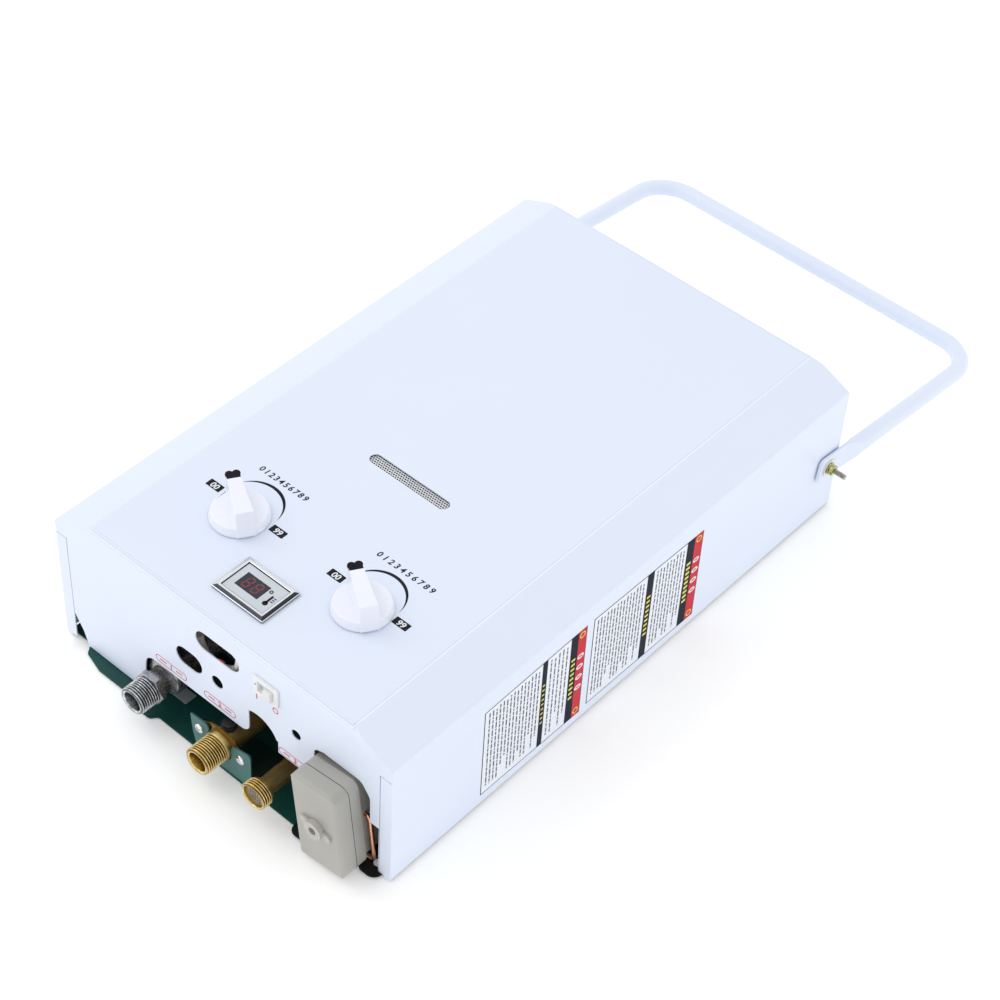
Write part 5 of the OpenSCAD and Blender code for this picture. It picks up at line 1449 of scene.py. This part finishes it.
@dataclass
class Ports:
    """The three ports at the pipe end, with what holds them; profiles are radii and heights along a port."""

    crest: float = 10.4775
    depth: float = 1.162
    pitch: float = 1.814
    bore: float = 7.25
    wall_bore: float = 7.3
    pipe_r: float = 9.5
    gas: tuple[float, float] = (-57.2, 24.0)
    outlet: tuple[float, float] = (7.7, 21.6)
    inlet: tuple[float, float] = (54.6, 24.6)
    hexagon: float = 26.0
    flange_tip: float = 7.6
    flange_cut: float = 4.8
    flange_rise: float = 4.4
    flange_edge: tuple = ((0.25, 6.5), (0.0, 6.75), (0.0, 7.75), (0.25, 8.0))
    screw_gap: float = 37.6
    screw_x: float = 1.0
    screw_z: float = 2.2
    bracket_y: float = -9.5
    head_r: float = 3.7
    dome: float = 1.8
    rim: float = 0.35
    cross_reach: float = 2.3
    cross_half: float = 0.62
    cross_depth: float = 1.1
    cross_side: float = 0.22
    cross_end: float = 0.5
    cross_turn: float = 0.4

    def make(self) -> None:
        """Builds the ports."""
        self.gas_port()
        self.water_out()
        self.water_in()
        # painted shade: the bracket's foot darkens inward from Y -8.6 to -7.9 under the hood
        softened("outlet_bracket", BRACKET_TEAL, 0.3, painted_shade_y=(-8.6, -7.9))
        self.screws()

    def thread(self, name: str, node: str, finish: Finish, place: Place, start: float, end: float,
               bore: float, lead: float = 1.2) -> None:
        """Builds one port's thread, which stands for the port's node.

        Args:
            name: the piece's name.
            node: the node.
            finish: its finish.
            place: the port's place.
            start: height where the thread begins.
            end: height of the mouth.
            bore: radius of the hole.
            lead: length of the lead cone.
        """
        shell = threaded(place, self.crest, self.depth, self.pitch, start, end, bore, lead)
        build(name, shell, finish, node, sharp=60.0)

    def gas_port(self) -> None:
        """The gas port: thread, hexagon, neck and casting."""
        at, hole, r = END.at(*self.gas), self.wall_bore, self.pipe_r
        self.thread("gas_port_thread", "gas_inlet", GAS_ZINC, at, 9.6, 25.0, self.bore)
        build("gas_port_hexagon", hexagon_nut(at.turned(30.0), self.hexagon, 5.0, 10.0, hole), GAS_CAST)
        neck = [(hole, 5.2), (r, 5.2), (r, -51.5), (r - 0.5, -52.0), (hole, -52.0)]
        build("gas_port_neck", revolved(neck, at, 56, loop=True), GAS_CAST)
        boss = [(9.3, -3.0), (12.6, -3.0), (13.7, -3.4), (14.3, -4.4), (14.5, -5.6), (14.5, -24.4),
                (13.8, -25.6), (12.8, -26.0), (9.3, -26.0)]
        build("gas_port_boss", revolved(boss, at.at(0.0, 1.0), 64, loop=True), GAS_CAST)

    def water_out(self) -> None:
        """The water outlet: thread, neck, the tube behind it and the oval flange."""
        at, hole, r = END.at(*self.outlet), self.wall_bore, self.pipe_r
        self.thread("outlet_thread", "water_outlet", BRASS, at, 11.6, 29.0, self.bore)
        neck = [(hole, 11.9), (9.6, 11.9), (10.3, 11.8), (10.7, 11.3), (10.8, 10.9), (10.8, 7.0), (hole, 7.0)]
        build("outlet_neck", revolved(neck, at, 72, loop=True), BRASS_CAST)
        tube = [(hole, 7.2), (r, 7.2), (r, -24.0), (hole, -24.0)]
        build("outlet_tube", revolved(tube, at, 56, loop=True), BRASS_CAST)
        build("outlet_flange", self.flange(at), BRASS)

    def flange(self, at: Place) -> Shell:
        """The oval flange: the lens that two equal arcs enclose, with its tips cut round at the screws.

        In the direction a, an arc of radius r whose centre lies far off the middle reaches sqrt(r^2 - (far
        cos a)^2) - far |sin a|.

        Args:
            at: the outlet's place.

        Returns:
            The closed surface.
        """
        half_gap = self.screw_gap / 2.0
        reach, rise = half_gap + self.flange_tip, self.crest + self.flange_rise
        r = (reach ** 2 + rise ** 2) / (2.0 * rise)
        far = r - rise
        turn = full_turn(160)
        lens = np.sqrt(r ** 2 - far ** 2 * np.cos(turn) ** 2) - far * np.abs(np.sin(turn))
        edge = np.minimum(lens, half_gap + self.flange_cut)
        rings = [circles(edge - inset, level, turn) for inset, level in self.flange_edge]
        return Shell.of_rings(at.put(np.concatenate(rings)))

    def water_in(self) -> None:
        """The water inlet: short thread, cone, pipe and the strainer in its mouth."""
        at = END.at(*self.inlet)
        self.thread("inlet_thread", "water_inlet", BRASS, at, 17.2, 25.5, 8.25, lead=1.0)
        cone = [(8.3, 17.4), (9.5, 17.3), (9.4, 16.6), (6.9, 13.5), (6.5, 12.9), (6.5, -56.0), (4.9, -56.0),
                (4.9, 15.0), (8.3, 17.0)]
        build("inlet_neck", revolved(cone, at, 64, loop=True), BRASS_CAST, "inlet_pipe")
        dress(STRAINER, "inlet_filter")

    def screws(self) -> None:
        """Two domed screws with crossed recesses.

        The head's height over its radius is rim + (dome - rim) sqrt(1 - (r / R)^2), less a recess where the
        point lies inside one of two crossed bars, whose floor slopes up to their ends.
        """
        heads = []
        share = np.linspace(1.0, 0.0, 40)[:, None]
        turn = full_turn(96)
        r = share * self.head_r
        level = self.rim + (self.dome - self.rim) * np.sqrt(1.0 - share ** 2)
        slope = smooth_step((self.cross_reach - r) / self.cross_end) * self.cross_depth
        stem = ((1.3, -6.0), (1.75, -5.6), (1.75, 0.0), (self.head_r, 0.0))
        for side in (-1, 1):
            at = END.at(self.outlet[0] + self.screw_x + side * self.screw_gap / 2.0,
                        self.outlet[1] + self.screw_z, -self.bracket_y)
            twist = turn + self.cross_turn * side
            from_bar = np.minimum(np.abs(r * np.cos(twist)), np.abs(r * np.sin(twist)))
            recess = smooth_step((self.cross_half - from_bar) / self.cross_side) * slope
            rings = [*(circles(q, h, turn) for q, h in stem), circles(r, level - recess, turn)]
            heads.append(Shell.of_rings(at.put(np.concatenate(rings))))
        build("outlet_screw_heads", Shell.joined(heads), SCREW_STEEL, "outlet_screws", sharp=50.0)


@dataclass
class BatteryBox:
    """The grey battery box with its cover, its round latch and the black bracket under it."""

    width: float = 39.5
    height: float = 74.0
    corner: float = 6.0
    middle: Triple = (108.2, -10.5, 39.9)
    tilt: float = 6.65
    seam_half: float = 0.2
    seam_reach: float = 0.7
    seam_proud: float = 0.04

    def make(self) -> None:
        """Builds the box."""
        softened("battery_case", BATTERY_GREY, 0.35)
        softened("battery_cover", BATTERY_GREY, 0.9, segments=3)
        softened("battery_latch", LATCH_GREY, 0.3)
        softened("battery_bracket", LUG_BLACK, 0.25)
        dress(CELL_SLEEVE, "battery_cells")
        dress(CONTACT, "battery_contacts")
        dress(COPPER, "sensor_tube")
        self.seam()

    def seam(self) -> None:
        """The dark seam between the case and its cover."""
        lean = math.radians(self.tilt)
        c, s = math.cos(lean), math.sin(lean)
        place = Place(self.middle, (c, 0.0, s), (-s, 0.0, c))
        out, reach, half = -self.seam_proud, self.seam_reach, self.seam_half
        profile = [(out, -half), (out, half), (reach, half), (reach, -half)]
        build("battery_seam", framed(profile, self.width, self.height, self.corner, place), INK, sharp=40.0)


@dataclass
class CarryHandle:
    """The bent tube handle with flattened ends, its studs, nuts and washers."""

    pivot_y: float = 444.5
    pivot_z: float = 49.6
    arm_x: float = 152.2
    reach: float = 194.7
    bend_r: float = 30.0
    tube_r: float = 6.3
    flat_r: float = 1.2
    plate_half: float = 10.3
    corner: float = 3.0
    flat_end: float = 18.0
    round_start: float = 42.0
    droop: float = 6.6
    stud_r: float = 2.0
    nut: float = 8.1

    def make(self) -> None:
        """Builds the handle and its fittings."""
        build("handle_tube", self.tube(), ENAMEL, "handle", body="carry_handle", sharp=50.0)
        softened("handle_washers", SCREW_STEEL, 0.15)
        studs, nuts = [], []
        for side in (-1.0, 1.0):
            at = Place((0.0, self.pivot_y, self.pivot_z), (0.0, side, 0.0), (0.0, 0.0, 1.0))
            studs += self.stud(at)
            nuts += self.flanged_nut(at)
        build("handle_stud_threads", Shell.joined(studs), STUD_STEEL, "handle_studs", sharp=60.0)
        build("handle_hexagon_nuts", Shell.joined(nuts), NUT_YELLOW, "handle_nuts")

    def stud(self, at: Place) -> list[Shell]:
        """A stud's thread and its plain root with a collar.

        Args:
            at: the stud's place, whose z runs outward from the casing's middle.

        Returns:
            The two surfaces.
        """
        thread = threaded(at, self.stud_r, 0.34, 0.7, 152.0, 168.0, 0.02, lead=0.6, sides=36)
        profile = [(0.0, 145.2), (3.7, 145.2), (4.0, 145.5), (4.0, 148.2), (1.9, 148.2), (1.9, 152.2),
                   (0.0, 152.2)]
        root = revolved(profile, at, 36)
        root.shade = np.full(len(root.points), 0.7)
        return [thread, root]

    def flanged_nut(self, at: Place) -> list[Shell]:
        """A nut's hexagon and its round flange.

        Args:
            at: the stud's place, whose z runs outward from the casing's middle.

        Returns:
            The two surfaces.
        """
        hole = self.stud_r - 0.05
        profile = [(hole, 154.6), (4.6, 154.6), (4.8, 154.75), (4.8, 155.3), (4.5, 155.5), (4.0, 155.7),
                   (hole, 155.7)]
        flange = revolved(profile, at, 48, loop=True)
        return [hexagon_nut(at, self.nut, 155.5, 158.9, hole, bevel=0.5), flange]

    def route(self) -> tuple[Array, Array]:
        """The tube's middle line in its own plane, from one flat end over the bar to the other.

        Returns:
            The points, and the direction of the line at each of them.
        """
        up = self.reach - self.bend_r
        quarter = np.linspace(0.0, QUARTER_TURN, 7)
        rounded = self.corner * (1.0 - np.cos(quarter)) - self.plate_half
        arm = np.concatenate([rounded, np.linspace(self.flat_end, self.round_start, 18),
                              np.linspace(self.round_start, up, 12)[1:]])
        turn = np.linspace(0.0, QUARTER_TURN, 19)[1:]
        bend = np.column_stack([self.arm_x - self.bend_r + self.bend_r * np.cos(turn),
                                up + self.bend_r * np.sin(turn)])
        half = np.concatenate([np.column_stack([np.full(len(arm), self.arm_x), arm]), bend])
        way = np.concatenate([np.tile([0.0, 1.0], (len(arm), 1)),
                              np.column_stack([-np.sin(turn), np.cos(turn)])])
        line = np.concatenate([half, [[0.0, self.reach]], half[::-1] * [-1, 1]])
        return line, np.concatenate([way, [[-1.0, 0.0]], way[::-1] * [1, -1]])

    def tube(self) -> Shell:
        """The tube: a superellipse carried along the arm, the bend, the bar and back.

        Its half-widths run from the flat plate's to the tube's radius, and its power from a near rectangle's
        to a circle's, with a smooth step along the arm; the plate's end is drawn in to round its corners.

        Returns:
            The closed surface, turned to the photographed droop.
        """
        line, along = self.route()
        level = line[:, 1]
        rounding = smooth_step((level - self.flat_end) / (self.round_start - self.flat_end))[:, None]
        drawn = np.clip(self.corner - (level + self.plate_half), 0.0, self.corner)
        tall = (self.plate_half - self.corner + np.sqrt(self.corner ** 2 - drawn ** 2))[:, None]
        tall = tall + (self.tube_r - tall) * rounding
        thick = self.flat_r + (self.tube_r - self.flat_r) * rounding
        power = 2.0 / (8.0 - 6.0 * rounding)
        c, s = np.cos(full_turn(64)), np.sin(full_turn(64))
        c = np.sign(c) * np.abs(c) ** power * thick
        s = np.sign(s) * np.abs(s) ** power * tall
        x = line[:, :1] + along[:, 1:] * c
        y = line[:, 1:] - along[:, :1] * c
        d = math.radians(-self.droop)
        turned_y = y * math.cos(d) - s * math.sin(d) + self.pivot_y
        turned_z = y * math.sin(d) + s * math.cos(d) + self.pivot_z
        return Shell.of_rings(np.stack([x, turned_y, turned_z], axis=-1))


@dataclass
class Works:
    """Everything inside the casing: each node keeps its shape and gets its finish."""

    finishes: tuple = (
        (BRASS_CAST, ("water_valve_body", "water_valve_cover", "drain_plug", "gas_nozzles")),
        (GAS_CAST, ("gas_valve_body", "gas_manifold")),
        (RUBBER, ("diaphragm", "gas_valve_disc")),
        (SCREW_STEEL, ("valve_screws", "link_rod")),
        (COIL, ("gas_solenoid",)),
        (INNER_BLACK, ("microswitch", "outlet_thermostat")),
        (SLIDER_GREY, ("microswitch_plunger",)),
        (BURNER_STEEL, ("burner_bars", "burner_tray")),
        (COPPER, ("combustion_chamber", "exchanger_fins", "exchanger_tubes", "hot_pipe", "cold_pipe")),
        (GALVANISED, ("flue_hood", "flue_collar")),
        (CREAM, ("ignition_box",)),
        (CERAMIC, ("burner_electrodes",)),
        (WIRE, ("wiring",)),
    )

    def make(self) -> None:
        """Dresses the nodes."""
        for finish, nodes in self.finishes:
            dress(finish, *nodes)


# ---------------------------------------------------------------- light and camera


@dataclass(frozen=True)
class Lamp:
    """One large soft round lamp that looks at a target, in metres and watts."""

    name: str
    position: Triple
    target: Triple
    size: float
    power: float

    def make(self) -> None:
        """Hangs the lamp."""
        data = bpy.data.lights.new(self.name, "AREA")
        data.shape = "DISK"
        data.size = self.size
        data.energy = self.power
        obj = add_object(self.name, data)
        obj.location = self.position
        obj.rotation_mode = "QUATERNION"
        obj.rotation_quaternion = (Vector(self.target) - Vector(self.position)).to_track_quat("-Z", "Y")


@dataclass
class Studio:
    """A pale floor, soft lights and the camera at the photograph's angle."""

    position: Triple = (763.90, -674.83, 1279.04)
    right: Triple = (0.74622912, 0.66412055, 0.04567261)
    up: Triple = (-0.49988336, 0.51373367, 0.69727638)
    back: Triple = (0.43961202, -0.54315892, 0.71534584)
    lens: float = 89.63
    sensor: float = 36.0
    near: float = 0.05
    far: float = 60.0
    sky_low: float = 0.92
    sky_high: float = 0.91
    floor_r: tuple = (0.0, 1500.0, 5000.0, 7000.0, 7600.0)
    floor_rise: tuple = (0.0, 0.0, 0.0, 300.0, 900.0)
    floor_gap: float = 0.6
    lamps: tuple = (
        Lamp("key_light", (-2.2, -0.6, 2.6), (0.0, 0.25, 0.1), 2.6, 22.0),
        Lamp("end_light", (-0.8, -3.0, 1.2), (0.0, 0.1, 0.05), 2.2, 2.0),
        Lamp("side_light", (1.7, 1.5, 0.6), (0.15, 0.42, 0.05), 1.0, 2.5),
    )

    def make(self) -> None:
        """Sets up the stage."""
        self.camera()
        self.floor()
        self.sky()
        for lamp in self.lamps:
            lamp.make()
        bpy.context.scene.view_settings.view_transform = "Standard"

    def camera(self) -> None:
        """Places the camera."""
        data = bpy.data.cameras.new("camera")
        data.lens = self.lens
        data.sensor_width = self.sensor
        data.clip_start = self.near
        data.clip_end = self.far
        obj = add_object("camera", data)
        turn = Matrix((self.right, self.up, self.back)).transposed()
        obj.matrix_world = Matrix.Translation(Vector(self.position) * MM) @ turn.to_4x4()
        bpy.context.scene.camera = obj

    def floor(self) -> None:
        """A pale round floor just under the back plate, that curves up at its rim."""
        r, h = np.array([self.floor_r, self.floor_rise])
        rings = circles(r[:, None], h[:, None] - self.floor_gap, full_turn(96))
        mesh = bpy.data.meshes.new("studio_floor")
        mesh.from_pydata((rings.reshape(-1, 3) * MM).tolist(), [], lattice(*rings.shape[:2]).tolist())
        with editing(mesh, 1e-6) as work:
            close_up(work)
        if mesh.polygons[0].normal.z < 0:
            mesh.flip_normals()
        mesh.shade_smooth()
        obj = add_object("studio_floor", mesh)
        mesh.materials.append(PAPER.material())

    def sky(self) -> None:
        """An even white surround, a little darker overhead than at the horizon."""
        world = bpy.data.worlds.new("studio_sky")
        bpy.context.scene.world = world
        world.use_nodes = True
        tree = world.node_tree
        where = tree.nodes.new("ShaderNodeTexCoord")
        split = tree.nodes.new("ShaderNodeSeparateXYZ")
        level = tree.nodes.new("ShaderNodeMapRange")
        surround = tree.nodes["Background"]
        tree.links.new(where.outputs["Generated"], split.inputs[0])
        tree.links.new(split.outputs["Z"], level.inputs["Value"])
        tree.links.new(level.outputs["Result"], surround.inputs["Strength"])
        bounds = {"From Min": 0.15, "From Max": 0.95, "To Min": self.sky_low, "To Max": self.sky_high}
        for key, value in bounds.items():
            level.inputs[key].default_value = value
        surround.inputs["Color"].default_value = (1.0, 1.0, 1.0, 1.0)


# ---------------------------------------------------------------- main


def main() -> None:
    """Builds the sub-assemblies in order."""
    logging.basicConfig(level=logging.INFO, format="%(name)s: %(message)s")
    parts = (
        Studio(),
        Casing(),
        EndMarks(),
        Folds(),
        InsideTheHoles(),
        Stickers(),
        Knob("fire", (-58.1, 88.15, 21.46), (-58.8, 84.84, 22.56), (-87.6, 83.5), (-29.1, 82.8),
             (-76.9, -37.3), 116.0),
        Knob("water", (52.34, 86.33, 21.19), (52.13, 83.72, 21.52), (24.1, 81.3), (81.0, 80.3),
             (30.8, 76.0), 114.0),
        Display(),
        SlideSwitch(),
        Ports(),
        BatteryBox(),
        CarryHandle(),
        Works(),
    )
    for part in parts:
        LOG.info("building %s", type(part).__name__)
        part.make()


if __name__ == "__main__":
    main()
